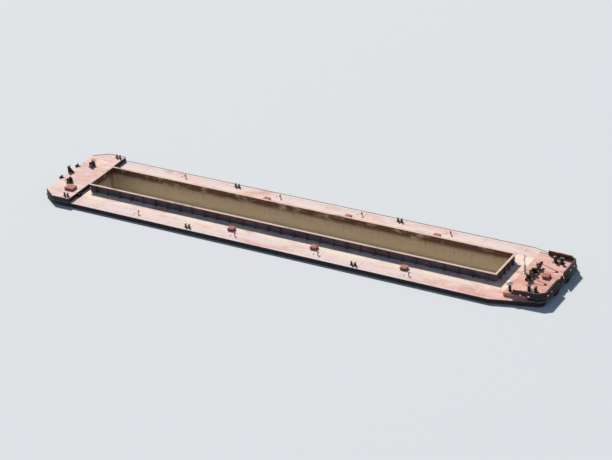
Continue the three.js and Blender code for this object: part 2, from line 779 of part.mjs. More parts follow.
function winches() {
  const { x, y, axis, shaft, drum } = WINCH;
  const cheekAt = drum + 0.04 + CLEAR;
  const cheek = [
    [-0.34, POOP_DECK + 0.04],
    [0.34, POOP_DECK + 0.04],
    [0.12, axis + 0.1],
    [-0.12, axis + 0.1],
  ];
  const base = block(-0.42, 0.42, -cheekAt - 0.05, cheekAt + 0.05, POOP_DECK + GAP, POOP_DECK + 0.06);
  const cheeks = SIDES.map(({ s }) => across(cheek, s * cheekAt - 0.03, s * cheekAt + 0.03));
  const bed = cut(join(base, cheeks), rod(boreFor(shaft), 2, "y", [0, 0, axis]));
  const spool = [
    [0.33, -drum],
    [0.33, -drum + 0.03],
    [0.17, -drum + 0.04],
    [0.17, drum - 0.04],
    [0.33, drum - 0.03],
    [0.33, drum],
  ];
  const wheelAt = cheekAt + 0.14;
  const turning = join(
    turned([spool], "y", [0, 0, 0], 20),
    rod(shaft, cheekAt + wheelAt + 0.1, "y", [0, (wheelAt - cheekAt) / 2, 0]),
    handWheel(0.36, wheelAt),
  ).translate([0, 0, axis]);
  for (const { name, s } of SIDES) {
    const outboard = s > 0 ? turning : turning.mirror([0, 1, 0]);
    add(`winch_bed_${name}`, bed.translate([x, s * y, 0]), "gear");
    add(`winch_drum_${name}`, outboard.translate([x, s * y, 0]), "iron");
  }
}

hull();
coamings();
raisedDecks();
bulwarks();
allBitts();
hatches();
windlass();
groundTackle();
mast();
bowRoller();
ventilator();
couplingGear();
winches();

barge.scale.setScalar(MM_PER_METRE);

export default barge;
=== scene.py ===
# %% [markdown]
# # A pushed river barge
#
# This lesson dresses a model of a river barge, built at half its real size. The barge is a flat
# steel box with one long open hold, wide side decks, a raised bow with its anchor gear and a
# raised stern with two knees that take the push. It could be modelled whole in Blender, but its
# solids come from a drawing, so that every plate has its right size, and Blender gives them
# their paint, their rust and their small fittings.

# %% Load the solids
import math

import bmesh
import bpy
from mathutils import Matrix, Vector


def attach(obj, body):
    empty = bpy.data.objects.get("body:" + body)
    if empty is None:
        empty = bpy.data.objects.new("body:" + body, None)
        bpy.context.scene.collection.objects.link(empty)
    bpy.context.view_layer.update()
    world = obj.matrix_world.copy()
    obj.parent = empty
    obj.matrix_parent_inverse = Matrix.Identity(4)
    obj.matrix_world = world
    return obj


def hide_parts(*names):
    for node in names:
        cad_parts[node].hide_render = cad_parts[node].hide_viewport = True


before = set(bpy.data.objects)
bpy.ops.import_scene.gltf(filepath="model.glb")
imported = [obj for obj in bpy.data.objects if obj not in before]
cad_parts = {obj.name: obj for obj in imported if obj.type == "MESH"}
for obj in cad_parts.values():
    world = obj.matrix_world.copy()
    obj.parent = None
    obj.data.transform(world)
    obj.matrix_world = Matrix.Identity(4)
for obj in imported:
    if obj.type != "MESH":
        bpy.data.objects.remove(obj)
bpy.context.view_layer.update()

# %% [markdown]
# ## Camera
#
# The barge was photographed from high up, ahead of its beam on the starboard side. A camera can
# be turned by hand until the outlines fit. Here its place was worked out from the picture's
# perspective and the barge's corners, and it stands there at half scale, because then the
# slopes of all edges agree at once. A long lens lets the barge fill the picture, and the small
# roll is there because the barge lay off the middle of the original frame.

# %% Camera
EYE = Vector((63.5, -95.3, 64.0))
AIM = Vector((0.5, 0.0, 1.1))
LENS_MM = 114.0
ROLL = math.radians(-5.2)

camera_data = bpy.data.cameras.new("camera")
camera_data.lens = LENS_MM
camera_data.clip_end = 8000.0
camera = bpy.data.objects.new("camera", camera_data)
bpy.context.collection.objects.link(camera)
camera.location = EYE
camera.rotation_mode = "QUATERNION"
sight = (AIM - EYE).to_track_quat("-Z", "Y")
camera.rotation_quaternion = sight @ Matrix.Rotation(ROLL, 3, "Z").to_quaternion()
bpy.context.scene.camera = camera
print("camera stands", round((AIM - EYE).length, 1), "m off")

# %% [markdown]
# ## Clean selections
#
# Modelling by script goes wrong most often because an operator acts on more than was meant.
# Shapes could be written as lists of points instead, but then nothing of them is learnt for
# work by hand. So every step starts from an empty selection, and faces or edges are then picked
# by a test on their place or their direction, as one would click on them.


# %% Tools for clean selections
def deselect():
    """Leave edit mode and select nothing."""
    if bpy.context.object and bpy.context.object.mode != "OBJECT":
        bpy.ops.object.mode_set(mode="OBJECT")
    bpy.ops.object.select_all(action="DESELECT")


def choose(*pieces):
    """Select these objects, the first of them active."""
    deselect()
    for piece in pieces:
        piece.select_set(True)
    bpy.context.view_layer.objects.active = pieces[0]


def settle(piece):
    """Put an object's place, turn and size into its mesh."""
    choose(piece)
    bpy.ops.object.transform_apply(location=True, rotation=True, scale=True)
    return piece


def primitive(kind, **place):
    """Add one of Blender's primitives and return its object."""
    deselect()
    getattr(bpy.ops.mesh, f"primitive_{kind}_add")(**place)
    return bpy.context.object


deselect()


# %% Picking in edit mode
def pick(piece, kind, test):
    """Open a piece in edit mode with only the faces, edges or verts selected that pass."""
    choose(piece)
    bpy.ops.object.mode_set(mode="EDIT")
    bpy.ops.mesh.select_mode(type={"faces": "FACE", "edges": "EDGE", "verts": "VERT"}[kind])
    bpy.ops.mesh.select_all(action="DESELECT")
    shape = bmesh.from_edit_mesh(piece.data)
    for part in getattr(shape, kind):
        part.select_set(bool(test(part)))
    shape.select_flush_mode()
    bmesh.update_edit_mesh(piece.data)


def leave():
    """Close edit mode."""
    bpy.ops.object.mode_set(mode="OBJECT")


print("tools for edit mode:", pick.__name__, leave.__name__)

# %% [markdown]
# ## Floor
#
# The barge is shown afloat, so the floor lies at its waterline. A plain plane would cut through
# the hold, which goes deeper than that. So the floor is left open over it: a small plane inside
# the hull loses its face, and its rim is extruded outwards, far past the edge of the picture.

# %% Floor
WATERLINE = 1.0
GAP_X, GAP_LENGTH, GAP_BEAM = -0.6, 32.6, 4.0  # wider than the hold and narrower than the hull
SPREAD = (120, 1000, 1)

floor = primitive("plane", size=1.0, location=(GAP_X, 0, WATERLINE))
floor.name = "floor"
floor.scale = (GAP_LENGTH, GAP_BEAM, 1)
settle(floor)
pick(floor, "faces", lambda face: True)
bpy.ops.mesh.delete(type="ONLY_FACE")
bpy.ops.mesh.select_all(action="SELECT")
bpy.ops.mesh.extrude_edges_move()
bpy.ops.transform.resize(value=SPREAD, center_override=(0, 0, WATERLINE))
leave()
print("floor lies at", WATERLINE, "m, with a gap of", GAP_LENGTH, "by", GAP_BEAM, "m")

# %% [markdown]
# ## Light
#
# Studio light is often made of several large lamps. Out on deck there is one sun and the whole
# sky, so one sun lamp and an even pale blue background are enough here. The sun stands astern
# and to port, which lays the dark shadow along the near side of the hold.

# %% Sun and sky
TO_SUN = Vector((-0.85, 0.73, 1.0))

sun_data = bpy.data.lights.new("sun", "SUN")
sun_data.energy = 4.75
sun_data.angle = math.radians(3.0)
sun_data.color = (1.0, 0.95, 0.885)
sun = bpy.data.objects.new("sun", sun_data)
bpy.context.collection.objects.link(sun)
sun.rotation_mode = "QUATERNION"
sun.rotation_quaternion = TO_SUN.to_track_quat("Z", "Y")

world = bpy.data.worlds.new("pale sky")
bpy.context.scene.world = world
world.use_nodes = True
sky = world.node_tree.nodes["Background"]
sky.inputs["Color"].default_value = (0.52, 0.69, 1.0, 1.0)
sky.inputs["Strength"].default_value = 0.28
bpy.context.scene.view_settings.view_transform = "Standard"
height = math.degrees(math.atan2(TO_SUN.z, TO_SUN.xy.length))
print("sun stands", round(height), "degrees above the floor")

# %% [markdown]
# ## Materials
#
# A working barge has few finishes, and all of them are worn. Each material starts from what
# the real coat is and how it was laid on, then adds what weather and work do to it: faded
# patches, rust along the seams, streaks below the edges, dust near the hold. Such wear could be
# painted as pictures on unwrapped faces. Masks of noise and lines need no unwrapping, and as
# they read the solid's own coordinates, a pattern stays where it is on the steel.
#
# The model is half size, so a patch of 1 m here is 2 m on the real barge. The grain of rolled
# paint is about 2 mm wide on the real barge, too fine to show at any distance, so it is drawn
# twenty times as coarse.


# %% Colours and nodes
def srgb(code):
    """The linear colour of a hex code as paint charts give it."""
    parts = [int(code[i : i + 2], 16) / 255 for i in (1, 3, 5)]
    return [p / 12.92 if p <= 0.04045 else ((p + 0.055) / 1.055) ** 2.4 for p in parts] + [1.0]


def node(tree, kind, inputs, out=0, **settings):
    """Add a node with its settings, set or link its inputs, and return one of its outputs."""
    made = tree.nodes.new("ShaderNode" + kind)
    for key, value in settings.items():
        setattr(made, key, value)
    for key, value in inputs.items():
        if isinstance(value, bpy.types.NodeSocket):
            tree.links.new(value, made.inputs[key])
        else:
            made.inputs[key].default_value = value
    return made.outputs[out] if made.outputs else made


def begin(name):
    """A new material with an empty tree, its coordinates, and their x, y and z."""
    material = bpy.data.materials.new(name)
    material.use_nodes = True
    tree = material.node_tree
    tree.nodes.clear()
    where = node(tree, "TexCoord", {}, out="Object")
    axes = node(tree, "SeparateXYZ", {0: where}).node.outputs
    return material, tree, where, (axes[0], axes[1], axes[2])


print("a grey of #808080 is", round(srgb("#808080")[0], 3), "in linear light")


# %% Masks
def patches(tree, where, size, low, high, stretch=(1, 1, 1), seed=0.0):
    """Cloudy patches about size metres wide. The lower low and high are, the more they cover."""
    scale = [1 / (size * s) for s in stretch]
    placed = {"Vector": where, "Scale": scale, "Location": (seed, seed, seed)}
    spot = node(tree, "Mapping", placed)
    noise = {"Vector": spot, "Scale": 1.0, "Detail": 5.0, "Roughness": 0.62}
    cloud = node(tree, "TexNoise", noise)
    edges = {"Value": cloud, "From Min": low, "From Max": high}
    return node(tree, "MapRange", edges, interpolation_type="SMOOTHSTEP")


def seams(tree, value, pitch, width, start=0.0):
    """Straight lines every pitch metres along one coordinate, such as the welds of plates."""
    moved = node(tree, "Math", {0: value, 1: start}, operation="SUBTRACT")
    away = node(tree, "Math", {0: moved, 1: pitch / 2}, operation="PINGPONG")
    edges = {"Value": away, "From Min": width, "From Max": width * 0.3}
    return node(tree, "MapRange", edges, interpolation_type="SMOOTHSTEP")


def within(tree, value, low, high, blur=0.01):
    """1 where a coordinate lies between two heights or places, and 0 outside them."""
    rise = {"Value": value, "From Min": low - blur, "From Max": low + blur}
    fall = {"Value": value, "From Min": high + blur, "From Max": high - blur}
    both = {0: node(tree, "MapRange", rise), 1: node(tree, "MapRange", fall)}
    return node(tree, "Math", both, operation="MULTIPLY")


print("masks:", [mask.__name__ for mask in (patches, seams, within)])


# %% Coats and the shader
def coats(tree, first, layers):
    """Coats of (colour, roughness) laid over the first, each where its mask says."""
    colour, roughness = srgb(first[0]), first[1]
    for code, rough, mask in layers:
        mixed = {0: mask, 6: colour, 7: srgb(code)}
        colour = node(tree, "Mix", mixed, out=2, data_type="RGBA")
        roughness = node(tree, "Mix", {0: mask, 2: roughness, 3: rough})
    return colour, roughness


def surface(tree, colour, roughness, bumps=(), **sockets):
    """The shader and its output. Bumps are (mask, height in metres), raised where it is 1."""
    inputs = {"Base Color": colour, "Roughness": roughness, **sockets}
    for mask, height in bumps:
        raised = {"Height": mask, "Distance": height}
        if "Normal" in inputs:
            raised["Normal"] = inputs["Normal"]
        inputs["Normal"] = node(tree, "Bump", raised)
    node(tree, "OutputMaterial", {"Surface": node(tree, "BsdfPrincipled", inputs)})


print("finishes are laid by", coats.__name__, "and closed by", surface.__name__)

# %% [markdown]
# ### The hull: bitumen outside, red oxide on deck, scoured plate in the hold
#
# The deck wears red oxide primer that sun and dust have bleached to pink, rolled on over
# plates that show as faint dished panels between rusty welds. The outside of the hull is
# brushed with bitumen, which goes brown and takes long scrapes from lock walls. The hold is
# bare plate, which grabs keep scoured. One solid carries all three. Its faces could be sorted
# by hand and given a material each, but then the drawing could not change any more, so one
# material chooses by place: up facing at deck height, inside the hold, or outside.

# %% Red oxide deck paint
PLATE_LENGTH, PLATE_WIDTH = 3.0, 0.75


def deck_oxide(tree, where, x, y, dust, far_dust, chalk, tones):
    """Bleached red oxide: matt and pink, with brown rust and pale dust beside the coaming."""
    across = node(tree, "Math", {0: y}, operation="ABSOLUTE")
    welds = {0: seams(tree, x, PLATE_LENGTH, 0.022, 0.4)}
    welds[1] = seams(tree, across, PLATE_WIDTH, 0.02, 0.2)
    lines = node(tree, "Math", welds, operation="MAXIMUM")
    broken = {0: lines, 1: patches(tree, where, 0.4, 0.38, 0.6, seed=11.0)}
    # dust lies thick beside the coaming, and less so before and behind the hold
    near = {"Value": across, "From Min": 2.9, "From Max": 1.6, "To Min": far_dust, "To Max": dust}
    ends = {"Value": across, "From Min": 1.3, "From Max": 1.5, "To Min": 0.35}
    near = {0: node(tree, "MapRange", near), 1: node(tree, "MapRange", ends)}
    near = node(tree, "Math", near, operation="MULTIPLY")
    dusty = {0: near, 1: patches(tree, where, 0.7, 0.36, 0.56, (3, 1, 1), 3.0)}
    # the paint is chalked white except toward the bow, and further forward to starboard
    aft = node(tree, "Math", {0: y, 1: -1.2, 2: x}, operation="MULTIPLY_ADD")
    aft = {"Value": aft, "From Min": 22.0, "From Max": 13.0, "To Max": chalk}
    aft = node(tree, "MapRange", aft)
    chalky = {0: aft, 1: patches(tree, where, 1.2, 0.3, 0.52, (3, 1, 1), 21.0)}
    scuffs = patches(tree, where, 0.05, 0.36, 0.56, (2, 1, 1), 17.0)
    scuffed = {0: scuffs, 1: patches(tree, where, 0.35, 0.52, 0.68, (2, 1, 1), 14.0)}
    layers = [
        (tones[1], 0.9, patches(tree, where, 0.9, 0.4, 0.6, (3, 1, 1))),
        (tones[2], 0.8, patches(tree, where, 0.45, 0.52, 0.68, (2.5, 1, 1), 7.0)),
        (tones[3], 0.9, node(tree, "Math", scuffed, operation="MULTIPLY")),
        ("#dccbc8", 0.95, node(tree, "Math", chalky, operation="MULTIPLY")),
        ("#9c6655", 0.9, node(tree, "Math", broken, operation="MULTIPLY")),
        ("#6d3b2c", 0.9, patches(tree, where, 0.1, 0.66, 0.74, seed=5.0)),
        ("#f0dfc6", 0.95, node(tree, "Math", dusty, operation="MULTIPLY")),
    ]
    return coats(tree, (tones[0], 0.85), layers), lines


print("deck plates on the real barge:", 2 * PLATE_LENGTH, "by", 2 * PLATE_WIDTH, "m")


# %% Brushed bitumen
def hull_bitumen(tree, where, z):
    """Satin black going brown, with scrapes, rust runs, a tide mark and weed below it."""
    tide = {
        0: within(tree, z, WATERLINE + 0.02, WATERLINE + 0.07, 0.02),
        1: patches(tree, where, 0.3, 0.3, 0.6, (2, 2, 1), 9.0),
    }
    wet = {"Value": z, "From Min": WATERLINE, "From Max": WATERLINE - 0.07}
    wet = node(tree, "MapRange", wet)
    layers = [
        ("#2a2222", 0.7, patches(tree, where, 1.6, 0.42, 0.65, (1, 1, 0.3))),
        ("#4d2e1f", 0.85, patches(tree, where, 0.2, 0.58, 0.72, (0.5, 0.5, 3), 2.0)),
        ("#5d5450", 0.6, patches(tree, where, 0.035, 0.66, 0.72, (30, 30, 0.6), 4.0)),
        ("#7b7462", 0.9, node(tree, "Math", tide, operation="MULTIPLY")),
        ("#2f3826", 0.95, node(tree, "Math", {0: wet, 1: 0.75}, operation="MULTIPLY")),
    ]
    return coats(tree, ("#15161a", 0.55), layers)


print("weed grows below", WATERLINE, "m")


# %% Scoured hold plate
def hold_plate(tree, where, z):
    """Scoured plate: drag marks, rust runs, low dust, and old paint and painted shade up high."""
    high = node(tree, "MapRange", {"Value": z, "From Min": 1.2, "From Max": 1.5})
    # high on the walls the plate is darker: old paint, and painted shade of the upper band
    paint = {0: high, 1: patches(tree, where, 0.4, 0.3, 0.5, (2, 2, 1), 8.0)}
    low = node(tree, "MapRange", {"Value": z, "From Min": 1.5, "From Max": 0.3})
    film = {0: low, 1: patches(tree, where, 0.3, 0.12, 0.42, (4, 1.5, 1), 5.0)}
    layers = [
        ("#c0b5a4", 0.45, patches(tree, where, 0.09, 0.5, 0.66, (16, 1.5, 1), 1.0)),
        ("#7f7061", 0.6, patches(tree, where, 0.07, 0.52, 0.68, (1.2, 1.2, 9), 3.0)),
        ("#65473e", 0.8, node(tree, "Math", paint, operation="MULTIPLY")),
        ("#7d4f3b", 0.85, patches(tree, where, 0.13, 0.57, 0.69, (0.7, 0.7, 6), 6.0)),
        ("#efdfc0", 0.95, node(tree, "Math", film, operation="MULTIPLY")),
    ]
    return coats(tree, ("#b1a48f", 0.55), layers)


def inside_hold(tree, x, across, half_beam, aft, fore):
    """1 between the hold's walls, its limits taken on or just past their faces."""
    beam = within(tree, across, -1, half_beam, 0.002)
    inside = {0: beam, 1: within(tree, x, aft, fore, 0.002)}
    return node(tree, "Math", inside, operation="MULTIPLY")


HULL_WALLS = (1.3305, -16.456, 15.306)  # half beam, aft and fore
print("hold:", round(HULL_WALLS[2] - HULL_WALLS[1], 2), "by", round(2 * HULL_WALLS[0], 2), "m")


# %% One finish beside another
def blend_coats(tree, mask, below, above):
    """One finish where the mask is 0 and another where it is 1."""
    colour = {0: mask, 6: below[0], 7: above[0]}
    roughness = {0: mask, 2: below[1], 3: above[1]}
    return node(tree, "Mix", colour, out=2, data_type="RGBA"), node(tree, "Mix", roughness)


print("finishes are set side by side by", blend_coats.__name__)

# %% The three on one shell
GRAIN = 0.02


def shell_finish(name, deck_height, has_hold, dust, far_dust, chalk, tones, red_side=None):
    """Bitumen below the deck's edge and oxide on it, and on the sides too aft of red_side."""
    material, tree, where, (x, y, z) = begin(name)
    across = node(tree, "Math", {0: y}, operation="ABSOLUTE")
    finish = hull_bitumen(tree, where, z)
    if has_hold:
        inside = inside_hold(tree, x, across, *HULL_WALLS)
        finish = blend_coats(tree, inside, finish, hold_plate(tree, where, z))
    top = {"Value": z, "From Min": deck_height - 0.006, "From Max": deck_height - 0.003}
    top = node(tree, "MapRange", top)
    if red_side:
        aft = {"Value": x, "From Min": red_side + 0.3, "From Max": red_side}
        aft = node(tree, "MapRange", aft)
        top = node(tree, "Math", {0: top, 1: aft}, operation="MAXIMUM")
    oxide, lines = deck_oxide(tree, where, x, y, dust, far_dust, chalk, tones)
    colour, roughness = blend_coats(tree, top, finish, oxide)
    bumps = [
        (patches(tree, where, GRAIN, 0.3, 0.7), 0.001),
        (seams(tree, x, 0.3, 0.15), 0.003),  # plates are dished between their frames
        (node(tree, "Math", {0: top, 1: lines}, operation="MULTIPLY"), 0.004),  # welds stand up
    ]
    surface(tree, colour, roughness, bumps)
    return material


print("paint grain on the large plates:", GRAIN, "m")

# %% Hull, forecastle and poop
SIDE_DECK_TONES = ["#ca9082", "#dbaca1", "#b57463", "#ecccc8"]  # paint, faded, worn, chalked
FORE_DECK_TONES = ["#cb8270", "#d89b8b", "#a9634f", "#e3b5a9"]
POOP_DECK_TONES = ["#d19d92", "#e3bab2", "#bb7461", "#f0d4cf"]
HULL_SHELL = shell_finish(
    "bitumen_and_oxide_on_hull_plate",
    deck_height=1.3,
    has_hold=True,
    dust=1.0,
    far_dust=0.1,
    chalk=0.9,
    tones=SIDE_DECK_TONES,
)
FORECASTLE = shell_finish(
    "bitumen_and_oxide_on_forecastle",
    deck_height=1.525,
    has_hold=False,
    dust=0.2,
    far_dust=0.05,
    chalk=0.45,
    tones=FORE_DECK_TONES,
    red_side=17.9,
)
POOP = shell_finish(
    "bitumen_and_oxide_on_poop",
    deck_height=1.6,
    has_hold=False,
    dust=0.4,
    far_dust=0.15,
    chalk=0.4,
    tones=POOP_DECK_TONES,
)
print("hull finishes:", HULL_SHELL.name, FORECASTLE.name, POOP.name)

# %% [markdown]
# ### Coamings and bulwarks: chalked red brown alkyd
#
# The walls round the hold have their own darker red brown paint. It chalks to a dull grey brown
# on the outside, rust runs down from the flange and the stays, and dust lies on whatever faces
# up. Where the wall faces the hold it is scoured like the plate below it.
#
# The bulwark round the bow has the same paint inside, a darker one outside, and the hull's
# bitumen round the bow itself. Its faces that look up are pale pink, which is wear and a
# painted highlight, and forward they are dark in patches, which is painted shade. Inside and
# outside could be told apart by the way they face, but its stays face all ways, so its finish
# tells them by how near a face lies to the three planes of the outer skin.

# %% Red brown alkyd paint
COAMING_WALLS = (1.33, -16.455, 15.305)  # half beam, aft and fore


def coaming_finish():
    """Grey brown outside, dusty on top, and scoured plate where the wall faces the hold."""
    material, tree, where, (x, y, z) = begin("chalked_red_brown_alkyd")
    across = node(tree, "Math", {0: y}, operation="ABSOLUTE")
    facing = node(tree, "SeparateXYZ", {0: node(tree, "NewGeometry", {}, out="Normal")}, out=2)
    up = node(tree, "MapRange", {"Value": facing, "From Min": 0.6, "From Max": 0.9})
    dust = {0: up, 1: patches(tree, where, 0.5, 0.25, 0.5, (3, 1, 1), 2.0)}
    layers = [
        ("#7b6a70", 0.9, patches(tree, where, 0.8, 0.4, 0.62, (2, 1, 0.6))),
        ("#43281f", 0.9, patches(tree, where, 0.06, 0.55, 0.68, (1, 1, 6), 6.0)),
        ("#8c5340", 0.9, patches(tree, where, 0.14, 0.62, 0.7, (1, 1, 2), 12.0)),
        ("#d9b9a6", 0.95, node(tree, "Math", dust, operation="MULTIPLY")),
    ]
    outside = coats(tree, ("#62525a", 0.75), layers)
    inside = inside_hold(tree, x, across, *COAMING_WALLS)
    colour, roughness = blend_coats(tree, inside, outside, hold_plate(tree, where, z))
    bumps = [(patches(tree, where, GRAIN, 0.3, 0.7), 0.001)]
    bumps.append((seams(tree, z, 0.29, 0.14, 1.3), 0.003))
    surface(tree, colour, roughness, bumps)
    return material


COAMING = coaming_finish()
print("coaming finish:", COAMING.name)

# %% Bulwark plate, darker outside
OUTER_SKIN = ((1, 0, -19.23), (0.056, 1, -3.638), (0.594, 0.804, -13.24))  # planes seen from above
BLACK_FROM, BLACK_TO = 17.7, 18.4


def bulwark_finish():
    """Red brown inside, darker outside, bitumen at the bow; pale tops: wear and painted highlight.
    """
    material, tree, where, (x, y, z) = begin("bitumen_and_alkyd_on_bulwark")
    across = node(tree, "Math", {0: y}, operation="ABSOLUTE")
    plan = node(tree, "CombineXYZ", {0: x, 1: across, 2: 1.0})
    skin = None
    for plane in OUTER_SKIN:
        away = {0: plan, 1: plane}
        away = node(tree, "VectorMath", away, out="Value", operation="DOT_PRODUCT")
        skin = node(tree, "Math", {0: away, 1: skin}, operation="MAXIMUM") if skin else away
    outside = node(tree, "MapRange", {"Value": skin, "From Min": -0.012, "From Max": -0.008})
    facing = node(tree, "SeparateXYZ", {0: node(tree, "NewGeometry", {}, out="Normal")}, out=2)
    upward = node(tree, "MapRange", {"Value": facing, "From Min": 0.5, "From Max": 0.8})
    layers = [
        ("#84584c", 0.9, patches(tree, where, 0.5, 0.4, 0.62, (2, 2, 0.6))),
        ("#43261d", 0.9, patches(tree, where, 0.06, 0.55, 0.68, (1, 1, 6), 6.0)),
    ]
    inner = coats(tree, ("#6b4238", 0.75), layers)
    worn = [
        ("#5a3a37", 0.85, patches(tree, where, 0.4, 0.42, 0.62, (2, 2, 0.6), 4.0)),
        ("#2b1a19", 0.8, patches(tree, where, 0.08, 0.54, 0.68, (1, 1, 5), 9.0)),
    ]
    side = coats(tree, ("#442a29", 0.7), worn)
    fore = node(tree, "MapRange", {"Value": x, "From Min": BLACK_FROM, "From Max": BLACK_TO})
    outer = blend_coats(tree, fore, side, hull_bitumen(tree, where, z))
    colour, roughness = blend_coats(tree, outside, inner, outer)
    # the tops are pale pink as wear and a painted highlight; forward, painted shade darkens them
    black = {0: fore, 1: patches(tree, where, 0.25, 0.25, 0.5, (1, 1, 1), 7.0)}
    rail_wear_and_painted_shade = [
        ("#8a5142", 0.9, patches(tree, where, 0.3, 0.45, 0.6)),
        ("#231e20", 0.7, node(tree, "Math", black, operation="MULTIPLY")),
    ]
    rail = coats(tree, ("#d8a798", 0.85), rail_wear_and_painted_shade)
    colour, roughness = blend_coats(tree, upward, (colour, roughness), rail)
    surface(tree, colour, roughness, [(patches(tree, where, GRAIN, 0.3, 0.7), 0.001)])
    return material


BULWARK = bulwark_finish()
print("bulwark finish:", BULWARK.name, "black forward of", BLACK_FROM, "to", BLACK_TO, "m")

# %% [markdown]
# ### Fittings, machinery, iron and white gear
#
# Mooring fittings get black enamel that ropes rub down to steel. Deck machinery is sprayed in
# a grey green enamel that oil keeps glossy in patches. Chains, anchors and drums are bare
# castings with brown rust, bright only where they rub. The mast and the ventilator are white so
# that they are seen at night. Each could have a tree of its own, but all of them are a first
# coat under a few kinds of cloudy patches, so one function makes them from lists of numbers.


# %% One tool for enamels and metals
def worn_finish(name, first, layers, grain=0.012, height=0.0006, **sockets):
    """A finish of cloudy layers: (colour, roughness, patch size, low, high, stretch)."""
    material, tree, where, _ = begin(name)
    masks = []
    for seed, (code, rough, size, low, high, stretch) in enumerate(layers):
        masks.append((code, rough, patches(tree, where, size, low, high, stretch, seed * 4.7)))
    colour, roughness = coats(tree, first, masks)
    surface(tree, colour, roughness, [(patches(tree, where, grain, 0.3, 0.7), height)], **sockets)
    return material


print("tool:", worn_finish.__name__)

# %% Fittings and machinery
FITTING = worn_finish(
    "black_fitting_enamel",  # satin black, brown at the weathered spots, grey where it is rubbed
    ("#17191d", 0.45),
    [
        ("#2c221f", 0.7, 0.25, 0.42, 0.62, (1, 1, 1)),
        ("#5c3524", 0.85, 0.07, 0.58, 0.68, (1, 1, 2)),
        ("#77716b", 0.4, 0.05, 0.66, 0.72, (3, 3, 0.6)),
    ],
)
MACHINERY = worn_finish(
    "grey_green_machinery_enamel",  # half gloss, faded olive, with oil stains and chipped spots
    ("#7d7862", 0.4),
    [
        ("#9a8a72", 0.6, 0.22, 0.4, 0.6, (1, 1, 1)),
        ("#4a3c30", 0.35, 0.12, 0.54, 0.66, (1, 1, 2)),
        ("#6b3f2b", 0.85, 0.05, 0.62, 0.7, (1, 1, 1)),
    ],
)
print("sprayed and brushed enamels:", FITTING.name, MACHINERY.name)

# %% Iron, white gear and hatches
CAST_IRON = worn_finish(
    "rusty_cast_iron",  # coarse brown skin, orange in the hollows, a dull shine on worn spots
    ("#3d2c25", 0.75),
    [
        ("#5e3b2a", 0.9, 0.06, 0.42, 0.6, (1, 1, 1)),
        ("#87502f", 0.95, 0.03, 0.58, 0.68, (1, 1, 1)),
        ("#6e6a66", 0.4, 0.04, 0.64, 0.72, (1, 1, 1)),
    ],
    grain=0.008,
    height=0.0015,
    Metallic=0.35,
)
WHITE = worn_finish(
    "white_alkyd_enamel",  # glossy and slightly yellow, with thin rust runs
    ("#e9e5da", 0.35),
    [
        ("#d5cdbb", 0.5, 0.2, 0.45, 0.65, (1, 1, 1)),
        ("#9c6a4c", 0.8, 0.025, 0.62, 0.72, (1, 1, 8)),
    ],
)
HATCH = worn_finish(
    "hatch_oxide_paint",  # newer and redder than the deck, scuffed pale along the top
    ("#a9604f", 0.7),
    [
        ("#c08071", 0.85, 0.2, 0.42, 0.6, (1, 1, 1)),
        ("#6b3a2c", 0.9, 0.06, 0.58, 0.7, (1, 1, 3)),
        ("#dcbcae", 0.95, 0.12, 0.62, 0.74, (2, 2, 1)),
    ],
)
print("iron, mast and hatch finishes:", CAST_IRON.name, WHITE.name, HATCH.name)

# %% Wire, rubber, glass and the floor
WIRE = worn_finish(
    "greased_steel_wire",  # grey strands, dark in the lay where grease and dust sit
    ("#5b5852", 0.35),
    [("#2b2723", 0.55, 0.03, 0.42, 0.6, (1, 1, 1)), ("#6a4a36", 0.8, 0.05, 0.6, 0.7, (1, 1, 1))],
    Metallic=0.8,
)
RUBBER = worn_finish(
    "scuffed_black_rubber",  # matt, grey where it rubs
    ("#1b1b1c", 0.85),
    [("#3d3a37", 0.95, 0.1, 0.48, 0.64, (2, 2, 1))],
)
GLASS = worn_finish(
    "frosted_lamp_glass",  # milky, smooth and glossy
    ("#cfd8d6", 0.15),
    [("#aeb8b4", 0.25, 0.05, 0.45, 0.6, (1, 1, 1))],
    height=0.0001,
)
FLOOR_BOARD, tree, _, _ = begin("pale_floor_board")  # matt and even, so that it stays behind
surface(tree, srgb("#cdd1d3"), 0.9)
floor.data.materials.append(FLOOR_BOARD)
print("materials:", len(bpy.data.materials))

# %% [markdown]
# ### The plated shell
#
# The hull, the raised decks and the coamings are large welded boxes. They could be copied and
# have their edges rounded as the smaller pieces below, but a plate edge is thinner than anything
# that shows at their size, so these solids keep their shape and only get their finish.

# %% Paint the shell
PAINT = {"forecastle": FORECASTLE, "poop": POOP}
for part in ("wing_tank_starboard", "wing_tank_port", "double_bottom", "hold_floor"):
    PAINT[part] = HULL_SHELL
for part in ("bow_section", "stern_section"):
    PAINT[part] = HULL_SHELL
for part in ("coaming_starboard", "coaming_port", "coaming_fore", "coaming_aft"):
    PAINT[part] = COAMING
for part, material in PAINT.items():
    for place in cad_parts[part].material_slots:
        place.material = material
print("solids that only get a finish:", len(PAINT))

# %% [markdown]
# ## Tools for shaping
#
# From here on, all lengths are those of the full-size barge, as on its drawing, because
# plate thicknesses and pipe sizes are easier to judge that way. The last step of each piece
# halves it. Every fitting could be modelled by itself, but four shapes make nearly all of them,
# so each gets a tool: a plate or block with rounded edges, a piece turned on a lathe, a round
# bar, and a profile cut from plate. No edge on a painted steel piece is sharp, because paint
# draws back from it, and a rounded edge catches the light. So blocks and plates are bevelled,
# and a turned piece has its chamfers in its profile.


# %% Modifiers, edges and normals
def modify(piece, kind, **settings):
    """Add a modifier and apply it."""
    choose(piece)
    made = piece.modifiers.new("step", kind)
    for key, value in settings.items():
        setattr(made, key, value)
    bpy.ops.object.modifier_apply(modifier=made.name)
    return piece


def soften(piece, width, segments=2, angle=40):
    """Round the edges that are sharper than this many degrees."""
    limit = math.radians(angle)
    kept = {"width": width, "segments": segments, "limit_method": "ANGLE", "angle_limit": limit}
    return modify(piece, "BEVEL", use_clamp_overlap=True, **kept)


